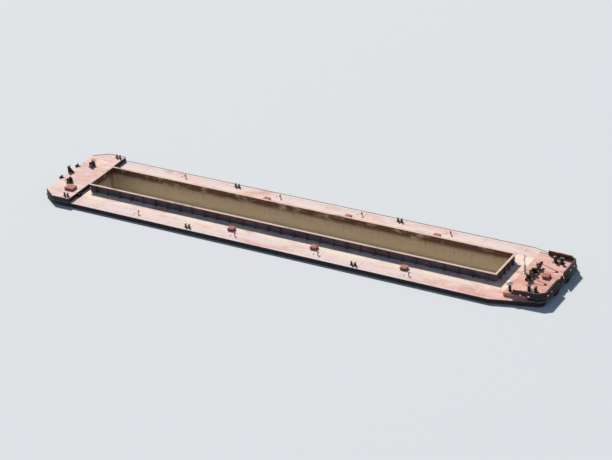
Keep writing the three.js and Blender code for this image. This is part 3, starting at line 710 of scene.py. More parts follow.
def face_outwards(piece):
    """Merge doubles, then point every face outwards."""
    pick(piece, "faces", lambda face: True)
    bpy.ops.mesh.remove_doubles(threshold=0.0002)
    bpy.ops.mesh.normals_make_consistent(inside=False)
    leave()
    return piece


print("shaping starts with", len(bpy.data.meshes), "meshes")


# %% Blocks and turned pieces
def block(low, high, edge=0.01):
    """A block between two corners, its edges rounded."""
    low, high = Vector(low), Vector(high)
    piece = primitive("cube", size=1, location=(low + high) / 2)
    piece.scale = high - low
    return soften(settle(piece), edge)


def turned(profile, sides=24):
    """A closed piece turned round Z from (radius, height) points, from its foot to its top."""
    radius, height = profile[0]
    place = {"radius": radius, "location": (0, 0, height), "fill_type": "NGON"}
    piece = primitive("circle", vertices=sides, **place)
    pick(piece, "faces", lambda face: True)
    for next_radius, next_height in profile[1:]:
        rise = {"value": (0, 0, next_height - height)}
        bpy.ops.mesh.extrude_region_move(TRANSFORM_OT_translate=rise)
        grow = next_radius / radius
        middle = (0, 0, next_height)
        bpy.ops.transform.resize(value=(grow, grow, 1), center_override=middle)
        radius, height = next_radius, next_height
    leave()
    return face_outwards(settle(piece))


print("tools:", block.__name__, turned.__name__)


# %% Bars laid between two points
def put(piece, at, along=(0, 0, 1)):
    """Lay the piece's Z along a direction, and move its origin to a place."""
    piece.rotation_mode = "QUATERNION"
    piece.rotation_quaternion = Vector(along).to_track_quat("Z", "Y")
    piece.location = at
    return settle(piece)


def bar(start, end, radius, sides=12):
    """A round bar between two points, its ends chamfered."""
    start, end = Vector(start), Vector(end)
    length, c = (end - start).length, radius * 0.25
    profile = [(radius - c, 0), (radius, c), (radius, length - c), (radius - c, length)]
    return put(turned(profile, sides), start, end - start)


print("tools:", put.__name__, bar.__name__)


# %% Profiles cut from plate
def cut_plate(points, thickness, edge=0.006):
    """A plate of any outline, drawn in X and Y and thick along Z from 0, its edges rounded."""
    piece = primitive("circle", vertices=len(points), radius=1, fill_type="NGON")
    for vert, (x, y) in zip(piece.data.vertices, points):
        vert.co = (x, y, 0)
    pick(piece, "faces", lambda face: True)
    bpy.ops.mesh.extrude_region_move(TRANSFORM_OT_translate={"value": (0, 0, thickness)})
    leave()
    return soften(face_outwards(piece), edge)


def upright(piece, y):
    """Stand a plate drawn in X and Y up, so that its Y is height, and put its middle at y."""
    piece.rotation_euler = (math.pi / 2, 0, 0)
    settle(piece)
    middle = (piece.bound_box[0][1] + piece.bound_box[7][1]) / 2
    piece.location = (0, y - middle, 0)
    return settle(piece)


print("tools:", cut_plate.__name__, upright.__name__)


# %% Copies, coats and joints
def copied(piece, move=(0, 0, 0), turn=0.0, flip=False):
    """A copy with its own mesh: flipped across the centreline, turned round Z, then moved."""
    choose(piece)
    bpy.ops.object.duplicate()
    twin = bpy.context.object
    twin.scale = (1, -1 if flip else 1, 1)
    settle(twin)
    if flip:
        pick(twin, "faces", lambda face: True)
        bpy.ops.mesh.normals_make_consistent(inside=False)
        leave()
    twin.rotation_mode = "XYZ"
    twin.rotation_euler = (0, 0, turn)
    twin.location = move
    return settle(twin)


def coat(material, *parts):
    """Give parts one material, and return them."""
    for part in parts:
        part.data.materials.clear()
        part.data.materials.append(material)
    return list(parts)


def together(*parts):
    """Join parts to one piece."""
    choose(*parts)
    if len(parts) > 1:
        bpy.ops.object.join()
    return bpy.context.object


def clear_away(*pieces):
    """Delete patterns that only served to be copied."""
    for piece in pieces:
        bpy.data.objects.remove(piece)


print("tools:", [tool.__name__ for tool in (copied, coat, together, clear_away)])

# %% [markdown]
# A piece is handed over in one place. It could be modelled at half size from the start, but
# then each number would have to be halved by head. Here the finished piece is halved about the
# origin, shaded, named, attached to the body it rides on, and the solids it stands for are hidden.


# %% Handing over a finished piece
def finished(name, piece, body, slot, stands_for=(), smooth=35):
    """Halve a piece to the model's size, name it, attach it to its body, hide what it stands for.
    """
    piece.name = piece.data.name = name
    piece.scale = (0.5, 0.5, 0.5)
    piece.location = (0, 0, 0)
    settle(piece)
    bpy.ops.object.shade_smooth_by_angle(angle=math.radians(smooth))
    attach(piece, body)
    if stands_for:
        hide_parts(*stands_for)
    return piece


def from_drawing(name, edge=0.01, segments=2):
    """A copy of a frame solid at full size, cleaned of its loose triangles, edges rounded."""
    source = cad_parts[name]
    piece = source.copy()
    piece.data = source.data.copy()
    piece.animation_data_clear()
    bpy.context.collection.objects.link(piece)
    piece.parent = None
    piece.matrix_world = Matrix.Identity(4)
    piece.hide_render = False
    piece.scale = (2, 2, 2)
    settle(piece)
    pick(piece, "faces", lambda face: True)
    bpy.ops.mesh.remove_doubles(threshold=0.0002)
    bpy.ops.mesh.dissolve_limited(angle_limit=math.radians(1))
    leave()
    soften(piece, edge, segments)
    # where two bevels meet and have no room left, the new points fall on one another
    pick(piece, "verts", lambda vert: True)
    bpy.ops.mesh.remove_doubles(threshold=0.00002)
    leave()
    return piece


print("solids that can be copied:", len(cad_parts))

# %% [markdown]
# ## Mooring bitts
#
# Bitts are two short thick pipes welded to a base plate, with a flared cap that keeps the rope
# from jumping off and a bar through both that it is belayed on. A cylinder with a bevel would
# do from afar, but a turned post also shows the flare and the weld at its foot. One pair is
# made and copied to its eight places. The two at the bow are larger, to stand clear of the
# bulwark.

# %% One pair of bitts
post = [(0.145, 0.04), (0.14, 0.06), (0.12, 0.085), (0.118, 0.42), (0.125, 0.45), (0.148, 0.475)]
post += [(0.15, 0.505), (0.142, 0.528), (0.12, 0.538)]
parts = [block((-0.5, -0.18, 0.001), (0.5, 0.18, 0.05), 0.012)]
for x in (-0.28, 0.28):
    parts.append(put(turned(post), (x, 0, 0)))
    for dx, dy in ((0.19, 0.13), (-0.19, 0.13), (0.19, -0.13), (-0.19, -0.13)):
        bolt = turned([(0.024, 0.04), (0.024, 0.068), (0.018, 0.074)], 6)
        parts.append(put(bolt, (x + dx, dy, 0)))
parts.append(bar((-0.46, 0, 0.26), (0.46, 0, 0.26), 0.035))
bitts = together(*coat(FITTING, *parts))
print("one pair measures", [round(v, 2) for v in bitts.dimensions])

# %% The eight pairs
SIDES = {"starboard": -1, "port": 1}
DECK, FORE_DECK, POOP_DECK = 2.6, 3.05, 3.2
BITTS = {  # x, y, deck and size
    "fore": (36.3, 3.9, FORE_DECK, 1.6),
    "mid_fore": (12, 6.3, DECK, 1),
    "mid_aft": (-14, 6.3, DECK, 1),
    "aft": (-34.6, 6.3, POOP_DECK, 1),
}
for place, (x, y, z, size) in BITTS.items():
    for side, s in SIDES.items():
        pair = copied(bitts)
        pair.scale = (size, size, size)
        pair.location = (x, s * y, z)
        settle(pair)
        name = f"bitts_{place}_{side}"
        finished(f"{name}_turned", pair, "barge", "fitting_paint", [name])
clear_away(bitts)
print("pairs of bitts:", 2 * len(BITTS), "on decks", DECK, FORE_DECK, "and", POOP_DECK, "m up")

# %% [markdown]
# ## Tank and peak hatches
#
# Each tank is entered through a low trunk with a hinged lid, held down by swing bolts. Boxes
# could be modelled for them, but the drawn solids already have the hinges in their right
# places, so copies of them get rounded edges. The swing bolts hang on the trunk below the lid's
# skirt, and the grab handle sits on the lid, so each rides on its own body and the lid opens
# past the bolts.

# %% Swing bolt and grab handle
lugs = [block((-0.028, -0.002, -0.15), (-0.014, 0.04, -0.08), 0.004)]
lugs.append(block((0.014, -0.002, -0.15), (0.028, 0.04, -0.08), 0.004))
lugs.append(bar((-0.034, 0.024, -0.115), (0.034, 0.024, -0.115), 0.009, 8))
lugs.append(bar((0, 0.024, -0.1), (0, 0.024, -0.27), 0.01, 8))
lugs.append(put(turned([(0.02, -0.262), (0.024, -0.255), (0.02, -0.235)], 8), (0, 0.024, 0)))
lugs.append(block((-0.05, 0.017, -0.262), (0.05, 0.031, -0.246), 0.006))
swing_bolt = together(*coat(FITTING, *lugs))

feet = [bar((x, 0, 0.03), (x, 0, 0.08), 0.011, 8) for x in (-0.09, 0.09)]
feet.append(bar((-0.095, 0, 0.085), (0.095, 0, 0.085), 0.011, 8))
handle = together(*coat(FITTING, *feet))
print("handle measures", [round(v, 2) for v in handle.dimensions])

# %% Where the eight hatches stand
TRUNK_HEIGHT = 0.32
HATCHES = [("forepeak", 36.4, 0, FORE_DECK, 0.9, 0.85, 270)]
HATCHES.append(("afterpeak", -35.4, -4.2, POOP_DECK, 1.4, 1.1, 180))
for number, x in enumerate((18.5, 5, -8), 1):
    for side, s in SIDES.items():
        facing = 0 if s > 0 else 180
        HATCHES.append((f"tank_{side}_{number}", x, s * 4.5, DECK, 0.9, 0.75, facing))
print("hatches:", len(HATCHES))


# %% Trunks and lids
def dress_hatch(name, x, y, z, length, width, facing):
    """A trunk with four swing bolts, and its lid with a grab handle."""
    kind, _, rest = name.partition("_")
    ending = f"_{rest}" if rest else ""
    trunk_name, lid_name = f"{kind}_hatch{ending}", f"{kind}_lid{ending}"
    turn = math.radians(facing)

    def fitted(part, along, out, spin=0.0):
        """A copy put along the hinge line and out from the trunk's middle."""
        place = Matrix.Rotation(turn, 3, "Z") @ Vector((along, out, 0))
        return copied(part, place + Vector((x, y, z + TRUNK_HEIGHT)), turn + spin)

    trunk = coat(HATCH, from_drawing(trunk_name, 0.008))
    bolts = [fitted(swing_bolt, a * length, width / 2) for a in (-0.28, 0.28)]
    for s in (-1, 1):
        bolts.append(fitted(swing_bolt, s * length / 2, 0.1, -s * math.pi / 2))
    trunk = together(*trunk, *bolts)
    finished(f"{trunk_name}_plated", trunk, "barge", "hatch_paint", [trunk_name])
    lid = coat(HATCH, from_drawing(lid_name, 0.008))
    lid = together(*lid, fitted(handle, 0.15 * length, 0.3 * width))
    finished(f"{lid_name}_plated", lid, lid_name, "hatch_paint", [lid_name])


for hatch in HATCHES:
    dress_hatch(*hatch)
clear_away(swing_bolt, handle)
print("trunks and lids:", 2 * len(HATCHES))

# %% [markdown]
# ## Anchor windlass
#
# The windlass stands on a bed frame with four bearing stands. A motor and a closed gear case
# turn a toothed wheel on one long shaft, which carries a chain wheel and a warping head on each
# side. The drawn bed and case have the right plates, so they are copied and given bearing
# caps, foot bolts, motor fins and brake bands. Teeth and rims would need many cuts in a copy of
# the drawn shaft, so that is turned anew.

# %% Hand wheels
def hand_wheel(radius, thick, spokes):
    """A cast wheel about Z: a rim that thins toward its round spokes, and a turned hub."""
    round_rim = {"major_radius": radius, "minor_radius": thick}
    rim = primitive("torus", major_segments=36, minor_segments=8, **round_rim)
    pick(rim, "verts", lambda vert: vert.co.xy.length < radius - 0.2 * thick)
    bpy.ops.transform.resize(value=(0.98, 0.98, 0.7), center_override=(0, 0, 0))
    leave()
    hub, half = 0.22 * radius, 0.12 * radius
    profile = [(0.85 * hub, -half), (hub, -0.8 * half), (hub, 0.8 * half), (0.85 * hub, half)]
    parts = [rim, turned(profile)]
    for i in range(spokes):
        turn = i * math.tau / spokes
        out = Vector((math.cos(turn), math.sin(turn), 0))
        parts.append(bar(out * 0.8 * hub, out * (radius - 0.4 * thick), 0.7 * thick, 8))
    return together(*parts)


print("tool:", hand_wheel.__name__)

# %% Bed and bearings
WINDLASS_X, AXIS = 34.7, FORE_DECK + 0.55
SHAFTWISE = (0, 1, 0)  # across the barge, as all its shafts lie
bed = [from_drawing("windlass_bed", 0.012)]
foot_bolt = turned([(0.028, 0), (0.028, 0.03), (0.02, 0.037)], 6)
for y in (-1.35, -0.62, 0.62, 1.35):
    cap = turned([(0.085, -0.078), (0.145, -0.078), (0.15, -0.072), (0.15, 0.072), (0.145, 0.078)])
    bed.append(put(cap, (WINDLASS_X, y, AXIS), SHAFTWISE))
    for dx in (-0.25, 0.25):
        for dy in (-0.11, 0.11):
            bed.append(copied(foot_bolt, (WINDLASS_X + dx, y + dy, FORE_DECK + 0.08)))
clear_away(foot_bolt)
print("bed, bearing caps and foot bolts:", len(bed), "parts")

# %% Band brakes
BRAKE_Y = 1.5
SCREW_X, SCREW_TOP = WINDLASS_X - 0.37, AXIS + 0.34
for y in (-BRAKE_Y, BRAKE_Y):
    band = primitive("cylinder", vertices=32, radius=0.345, depth=0.07, end_fill_type="NOTHING")
    modify(band, "SOLIDIFY", thickness=0.015, offset=-1)
    bed.append(put(band, (WINDLASS_X, y, AXIS), SHAFTWISE))
    low, high = (SCREW_X - 0.03, y - 0.03, AXIS - 0.06), (SCREW_X + 0.03, y + 0.03, AXIS + 0.06)
    bed.append(block(low, high))
    bed.append(bar((SCREW_X, y, FORE_DECK + 0.07), (SCREW_X, y, SCREW_TOP), 0.018, 8))
    bed.append(put(hand_wheel(0.11, 0.013, 4), (SCREW_X, y, SCREW_TOP)))
bed = together(*coat(MACHINERY, *bed))
finished("windlass_bed_built", bed, "barge", "gear_paint", ["windlass_bed"])
print("bed triangles:", sum(len(face.vertices) - 2 for face in bed.data.polygons))

# %% Gear case and finned motor
MOTOR_X, MOTOR_Z = WINDLASS_X - 0.37, FORE_DECK + 0.281
FLANGE_X = WINDLASS_X - 0.52
drive = [from_drawing("windlass_drive", 0.012)]
for y in (0.37, 0.41, 0.45, 0.49, 0.74, 0.78, 0.82, 0.86):
    fin = turned([(0.2, -0.006), (0.208, -0.003), (0.208, 0.003), (0.2, 0.006)], 20)
    drive.append(put(fin, (MOTOR_X, y, MOTOR_Z), SHAFTWISE))
low, high = (MOTOR_X - 0.09, 0.4, FORE_DECK + 0.46), (MOTOR_X + 0.05, 0.52, FORE_DECK + 0.55)
drive.append(block(low, high, 0.012))
low, high = (FLANGE_X - 0.03, -0.335, FORE_DECK + 0.36), (FLANGE_X + 0.05, 0.335, FORE_DECK + 0.4)
drive.append(block(low, high, 0.006))
for y in (-0.27, -0.09, 0.09, 0.27):
    drive.append(bar((FLANGE_X, y, FORE_DECK + 0.34), (FLANGE_X, y, FORE_DECK + 0.42), 0.014, 6))
print("gear case and motor:", len(drive), "parts")
drive = together(*coat(MACHINERY, *drive))
finished("windlass_drive_built", drive, "barge", "gear_paint", ["windlass_drive"])

# %% Shaft and gear wheel
TEETH, ROOT, TIP = 20, 0.37, 0.42
shaft = [bar((0, -2.35, 0), (0, 2.35, 0), 0.08, 24)]
outline = []
for i in range(4 * TEETH):
    radius = TIP if i % 4 < 2 else ROOT
    turn = i * math.tau / (4 * TEETH)
    outline.append((radius * math.cos(turn), radius * math.sin(turn)))
gear = cut_plate(outline, 0.14, 0.004)
pick(gear, "faces", lambda face: abs(face.normal.z) > 0.9 and face.calc_area() > 0.2)
bpy.ops.mesh.inset(thickness=0.07, use_individual=True)
bpy.ops.transform.resize(value=(1, 1, 0.45), center_override=(0, 0, 0.07))
leave()
shaft.append(upright(gear, 0))
hub = [(0.13, -0.09), (0.14, -0.08), (0.14, 0.08), (0.13, 0.09)]
shaft.append(put(turned(hub), (0, 0, 0), SHAFTWISE))
print("gear wheel:", TEETH, "teeth,", 2 * TIP, "m across")

# %% Chain wheels, brake discs and warping heads
CHAIN_Y = 1.7
chain_wheel = [(0.25, -0.13), (0.27, -0.12), (0.27, -0.095), (0.23, -0.07), (0.17, -0.045)]
chain_wheel += [(radius, -height) for radius, height in reversed(chain_wheel)]
head = [(0.185, -0.16), (0.2, -0.15), (0.2, -0.135), (0.165, -0.1), (0.138, -0.04), (0.13, 0.02)]
head += [(0.138, 0.08), (0.165, 0.125), (0.19, 0.15), (0.19, 0.17), (0.175, 0.18), (0.09, 0.185)]
disc = [(0.3, -0.04), (0.32, -0.038), (0.322, 0.038), (0.3, 0.04)]
for s in (-1, 1):
    shaft.append(put(turned(chain_wheel), (0, s * CHAIN_Y, 0), (0, s, 0)))
    for i in range(6):
        whelp = block((-0.03, -0.045, 0.14), (0.03, 0.045, 0.182), 0.01)
        whelp.rotation_euler = (0, i * math.pi / 3, 0)
        whelp.location = (0, s * CHAIN_Y, 0)
        shaft.append(settle(whelp))
    shaft.append(put(turned(disc, 32), (0, s * BRAKE_Y, 0), (0, s, 0)))
    shaft.append(put(turned(head, 20), (0, s * 2.15, 0), (0, s, 0)))
shaft = together(*coat(CAST_IRON, *shaft))
shaft.location = (WINDLASS_X, 0, AXIS)
finished("windlass_shaft_turned", settle(shaft), "windlass", "iron", ["windlass_shaft"])
print("shaft measures", [round(v, 2) for v in shaft.dimensions], "in the model")

# %% [markdown]
# ## Anchor chains
#
# Stud link chain is oval links with a bar across the middle, each turned a quarter against the
# last. A link could be a curve with a round section, which is smooth but heavy. A chain has
# many links, so one is a ring of few faces whose halves are moved apart, with a stud added.
# Copies follow the drawn run: up from the locker, over the chain wheel, along the deck and down
# into the pipe.

# %% One stud link
BEND = 0.034
ring = {"major_radius": BEND, "minor_radius": 0.0165}
link = primitive("torus", major_segments=12, minor_segments=6, **ring)
for s in (1, -1):
    pick(link, "verts", lambda vert, s=s: s * vert.co.x > 0.002)
    bpy.ops.transform.translate(value=(s * BEND, 0, 0))
    leave()
stud = bar((0, -0.03, 0), (0, 0.03, 0), 0.012, 6)
link = together(*coat(CAST_IRON, link, stud))
print("one link measures", [round(v, 3) for v in link.dimensions])

# %% The run of the chain
WHEEL_RADIUS, LINK_PITCH, WRAP = 0.235, 0.115, math.pi / 2 + 0.36
LOCKER_X, HAWSE_X = WINDLASS_X - WHEEL_RADIUS, 37.05
WELL_DEPTH, CONTACT_GAP, HALF_LINK = 0.25, 0.0006, 0.085
LOW = FORE_DECK - WELL_DEPTH + CONTACT_GAP + HALF_LINK  # the middle of the lowest link

route = [Vector((LOCKER_X, 0, LOW)), Vector((LOCKER_X, 0, AXIS))]
for i in range(1, 9):
    t = math.pi - WRAP * i / 8
    out = Vector((math.cos(t), 0, math.sin(t)))
    route.append(Vector((WINDLASS_X, 0, AXIS)) + out * WHEEL_RADIUS)
route += [Vector((HAWSE_X, 0, FORE_DECK + 0.14)), Vector((HAWSE_X, 0, LOW))]
lengths = [(b - a).length for a, b in zip(route, route[1:])]
count = round(sum(lengths) / LINK_PITCH)
print("chain:", round(sum(lengths), 2), "m with", count + 1, "links")


# %% Links along the run
def on_route(along):
    """The place at this distance along the run, and the way the chain goes there."""
    for a, b, length in zip(route, route[1:], lengths):
        if along <= length + 1e-6:
            break
        along -= length
    way = (b - a).normalized()
    return a + way * along, way


for side, s in SIDES.items():
    links = []
    for i in range(count + 1):
        place, way = on_route(sum(lengths) * i / count)
        twin = copied(link)
        twin.rotation_mode = "QUATERNION"
        spin = Matrix.Rotation(math.pi / 2 * (1 - i % 2), 3, "X").to_quaternion()
        twin.rotation_quaternion = way.to_track_quat("X", "Z") @ spin
        twin.location = place + Vector((0, s * CHAIN_Y, 0))
        links.append(settle(twin))
    name = f"anchor_chain_{side}"
    finished(f"{name}_links", together(*links), "barge", "iron", [name])
clear_away(link)
print("links on each side:", count + 1)

# %% [markdown]
# ## Anchors and hawse lips
#
# A stockless anchor is a forged crown with two flukes, drawn up until its shank is inside the
# hawse pipe. It could be sculpted from a box. The drawn anchor already has the right forms, so
# it is copied and its edges are rounded well, as on a casting. The lip of the pipe is a thick
# round ring that is half sunk into the raked bow.

# %% Anchors
LIP_X, LIP_Z, BOW_NORMAL = 38.405, 2.4, (1, 0, 0.59)
lip = {"major_radius": 0.165, "minor_radius": 0.035}
for side, s in SIDES.items():
    name = f"anchor_{side}"
    anchor = from_drawing(name, 0.018, 3)
    ring = primitive("torus", major_segments=28, minor_segments=8, **lip)
    ring = put(ring, (LIP_X, s * CHAIN_Y, LIP_Z), BOW_NORMAL)
    anchor = together(*coat(CAST_IRON, anchor, ring))
    finished(f"{name}_cast", anchor, "barge", "iron", [name])
    print(side, "anchor measures", [round(v, 2) for v in anchor.dimensions], "in the model")

# %% [markdown]
# ## Mast, ventilator and bow roller
#
# The mast is a tapered tube with a yard and three lanterns, and folds aft on a pin. The
# ventilator is a pipe under a domed cap. The roller in the bow's gate is a turned iron barrel
# between two cheeks, polished by wires. A half sphere would do for the cap, but its rim and its
# knob show against the dark pipe. So all of these are turned, the lanterns too, with glass
# between two white rings.

# %% Foot of the mast
MAST_X, PIN = 33.45, FORE_DECK + 0.9
mast_foot = from_drawing("mast_foot", 0.01)
nuts = []
for dx, dy in ((0.17, 0.17), (-0.17, 0.17), (0.17, -0.17), (-0.17, -0.17)):
    nut = turned([(0.022, 0.035), (0.022, 0.06), (0.016, 0.066)], 6)
    nuts.append(put(nut, (MAST_X + dx, dy, FORE_DECK)))
mast_foot = together(*coat(WHITE, mast_foot, *nuts))
finished("mast_foot_plated", mast_foot, "barge", "white_paint", ["mast_foot"])
print("mast turns about a pin", round(PIN - FORE_DECK, 2), "m above the deck")

# %% Mast and yard
YARD_Z, MAST_TOP = 5.1, 5.55
heel = from_drawing("signal_mast", 0.006)
pick(heel, "verts", lambda vert: vert.co.z > PIN + 0.31)
bpy.ops.mesh.delete(type="VERT")
leave()
pick(heel, "edges", lambda edge: edge.is_boundary)
bpy.ops.mesh.fill_holes(sides=0)
leave()
tube = [(0.055, PIN + 0.25), (0.05, PIN + 0.3), (0.042, 5.5), (0.036, 5.57)]
white_parts = [heel, put(turned(tube, 16), (MAST_X, 0, 0))]
white_parts.append(bar((MAST_X, -0.45, YARD_Z), (MAST_X, 0.45, YARD_Z), 0.025))
for s in (-1, 1):
    white_parts.append(bar((MAST_X, s * 0.3, YARD_Z), (MAST_X, 0, YARD_Z + 0.3), 0.012, 8))
print("mast, yard and braces:", len(white_parts), "parts")

# %% Lanterns
glass_parts = []
for y, z in ((0.4, YARD_Z), (-0.4, YARD_Z), (0, MAST_TOP)):
    base = turned([(0.045, 0), (0.068, 0.01), (0.07, 0.03), (0.06, 0.045)], 16)
    lens = turned([(0.056, 0.04), (0.062, 0.08), (0.062, 0.1), (0.056, 0.135)], 16)
    cap = turned([(0.06, 0.13), (0.07, 0.14), (0.068, 0.155), (0.045, 0.18), (0.02, 0.198)], 16)
    white_parts += [put(base, (MAST_X, y, z)), put(cap, (MAST_X, y, z))]
    glass_parts.append(put(lens, (MAST_X, y, z)))
mast = together(*coat(WHITE, *white_parts), *coat(GLASS, *glass_parts))
finished("signal_mast_rigged", mast, "mast", "white_paint", ["signal_mast"])
print("mast top stands at", round(2 * max(c[2] for c in mast.bound_box), 2), "m on the real barge")

# %% Ventilator
stem = [(0.26, 0.001), (0.26, 0.035), (0.25, 0.045), (0.2, 0.055), (0.18, 0.09), (0.18, 0.98)]
dome = [(0.19, 0.98), (0.39, 1.015), (0.417, 1.03), (0.42, 1.04), (0.42, 1.18), (0.415, 1.2)]
dome += [(0.37, 1.28), (0.28, 1.36), (0.16, 1.415), (0.06, 1.435), (0.05, 1.448)]
clips = []
for i in range(6):
    t = i * math.tau / 6
    out = Vector((math.cos(t), math.sin(t), 0))
    foot, tip = out * 0.17 + Vector((0, 0, 0.75)), out * 0.36 + Vector((0, 0, 1.02))
    clips.append(bar(foot, tip, 0.014, 8))
    bolt = turned([(0.02, 0.03), (0.02, 0.06), (0.015, 0.066)], 6)
    clips.append(put(bolt, out * 0.22))
collar = turned([(0.182, 0.5), (0.2, 0.505), (0.2, 0.545), (0.182, 0.55)])
vent = coat(FITTING, turned(stem), collar, *clips) + coat(WHITE, turned(dome, 32))
vent = together(*vent)
vent.location = (33.6, -4.7, FORE_DECK)
finished("ventilator_turned", settle(vent), "barge", "white_paint", ["ventilator"])
print("ventilator measures", [round(v, 2) for v in vent.dimensions], "in the model")

# %% Bow roller
ROLLER_X, ROLLER_Z = 38.3, FORE_DECK + 0.24
roller = [(0.115, -0.45), (0.13, -0.44), (0.13, -0.415), (0.112, -0.375), (0.108, -0.2)]
roller += [(0.106, 0), (0.108, 0.2), (0.112, 0.375), (0.13, 0.415), (0.13, 0.44), (0.115, 0.45)]
barrel = put(turned(roller), (ROLLER_X, 0, ROLLER_Z), SHAFTWISE)
pin = bar((ROLLER_X, -0.58, ROLLER_Z), (ROLLER_X, 0.58, ROLLER_Z), 0.04, 24)
barrel = together(*coat(CAST_IRON, barrel, pin))
finished("bow_roller_turned", barrel, "bow_roller", "iron", ["bow_roller"])
cheeks = [from_drawing("bow_roller_frame", 0.015, 3)]
for y in (-0.162, 0.162):
    for dx in (-0.17, 0.13):
        bolt = turned([(0.02, 0.04), (0.02, 0.07), (0.015, 0.075)], 6)
        cheeks.append(put(bolt, (ROLLER_X + dx, y, FORE_DECK)))
cheeks = together(*coat(FITTING, *cheeks))
finished("bow_roller_frame_built", cheeks, "barge", "fitting_paint", ["bow_roller_frame"])
print("roller measures", [round(v, 2) for v in barrel.dimensions], "in the model")

# %% [markdown]
# ## Coupling winches
#
# Two small winches on the raised stern hold the wires of a pushed convoy together. Each drum has
# its wire wound on in one even layer and a hand wheel with six spokes. The wire could be a long
# spiral, but its turns lie so close that a profile of small bumps, turned once, looks the same
# with far fewer faces. The bed keeps its drawn plates, with bolts and a brake lever.

# %% Drum, wire and hand wheel
TURNS = 13
spool = [(0.31, -0.3), (0.33, -0.295), (0.33, -0.272), (0.3, -0.262), (0.17, -0.258)]
spool += [(radius, -height) for radius, height in reversed(spool)]
winding = [(0.172, -0.257)]
for i in range(TURNS):
    middle = -0.234 + i * 0.039
    winding += [(0.2, middle - 0.017), (0.214, middle - 0.007)]
    winding += [(0.214, middle + 0.007), (0.2, middle + 0.017)]
winding.append((0.172, 0.257))
iron_parts = [put(turned(spool, 32), (0, 0, 0), SHAFTWISE)]
iron_parts.append(bar((0, -0.404, 0), (0, 0.598, 0), 0.05, 24))
iron_parts.append(put(hand_wheel(0.36, 0.024, 6), (0, 0.494, 0), SHAFTWISE))
wire = put(turned(winding, 32), (0, 0, 0), SHAFTWISE)
drum = together(*coat(CAST_IRON, *iron_parts), *coat(WIRE, wire))
print("drum measures", [round(v, 2) for v in drum.dimensions], "with", TURNS, "turns of wire")

# %% Two winches on their beds
DRUM_X, DRUM_Y, DRUM_Z = -36.7, 2.7, POOP_DECK + 0.48
for side, s in SIDES.items():
    twin = copied(drum, (DRUM_X, s * DRUM_Y, DRUM_Z), flip=s < 0)
    finished(f"winch_drum_{side}_wound", twin, f"winch_{side}", "iron", [f"winch_drum_{side}"])
    name = f"winch_bed_{side}"
    bed = [from_drawing(name, 0.01)]
    for dx in (-0.37, 0.37):
        for dy in (-0.25, 0.25):
            nut = turned([(0.022, 0.05), (0.022, 0.085), (0.016, 0.091)], 6)
            bed.append(put(nut, (DRUM_X + dx, s * DRUM_Y + dy, POOP_DECK)))
    y = s * (DRUM_Y - 0.28)
    lever = [(DRUM_X + 0.3, y, POOP_DECK + 0.05), (DRUM_X + 0.4, y, POOP_DECK + 0.62)]
    bed.append(bar(*lever, 0.016, 8))
    print(name, "has", len(bed), "parts")
    finished(f"{name}_built", together(*coat(MACHINERY, *bed)), "barge", "gear_paint", [name])
clear_away(drum)

# %% [markdown]
# ## Strakes, knees, beam and bulwarks
#
# These are heavy welded plates. Modelled anew they would look the same as on the drawing, so the
# drawn solids are copied and their edges rounded. The rubbing strakes are half round in section,
# so theirs are rounded far more. The push knees take the thrust of the push: flat bars are
# welded across them, and each bears on two rubber pads, for which its face is set back.

# %% One push knee
STERN, PAD, KNEE_Y = -39.0, 0.07, 1.9


def push_knee(name, y):
    """A drawn knee with flat bars across it, its face set back for two rubber pads."""
    knee = [from_drawing(name, 0.02)]
    pick(knee[0], "verts", lambda vert: vert.co.x < STERN + 0.05)
    bpy.ops.transform.translate(value=(PAD - 0.01, 0, 0))
    leave()
    for z in (1.7, 2.1, 2.5, 2.9, 3.3):
        low, high = (STERN + PAD, y - 0.325, z), (STERN + 0.22, y + 0.325, z + 0.06)
        knee.append(block(low, high, 0.012))
    pads = []
    for dy in (-0.15, 0.15):
        low, high = (STERN, y + dy - 0.11, 1.4), (STERN + PAD, y + dy + 0.11, 3.45)
        pads.append(block(low, high, 0.025))
    return together(*coat(FITTING, *knee), *coat(RUBBER, *pads))


print("the pads of the knees reach aft to", STERN, "m on the real barge")

# %% Strakes, bulwarks, knees and beam
for side, s in SIDES.items():
    name = f"rubbing_strake_{side}"
    strake = coat(FITTING, from_drawing(name, 0.03, 3))
    finished(f"{name}_rounded", *strake, "barge", "fitting_paint", [name])
    name = f"bow_bulwark_{side}"
    bulwark = coat(BULWARK, from_drawing(name, 0.008))
    finished(f"{name}_plated", *bulwark, "barge", "coaming_paint", [name])
    print(name, "measures", [round(v, 2) for v in bulwark[0].dimensions], "in the model")
    name = f"push_knee_{side}"
    knee = push_knee(name, s * KNEE_Y)
    finished(f"{name}_plated", knee, "barge", "fitting_paint", [name])
    print(name, "reaches aft to", round(min(c[0] for c in knee.bound_box), 3), "in the model")
beam = coat(FITTING, from_drawing("coupling_beam", 0.02))
finished("coupling_beam_plated", *beam, "barge", "fitting_paint", ["coupling_beam"])

# %% [markdown]
# ## Small steelwork
#
# The drawing leaves out the thin trim, which still tells the eye how big the barge is: bars on
# the coamings and along the deck edge, rims of the chain pipes, air pipes, sounding caps,
# ladders and steps. Straight bars are blocks and rods. A bar along the bent deck edge could be
# swept along a curve, but a flat one is cut more simply as a plate from its outline.

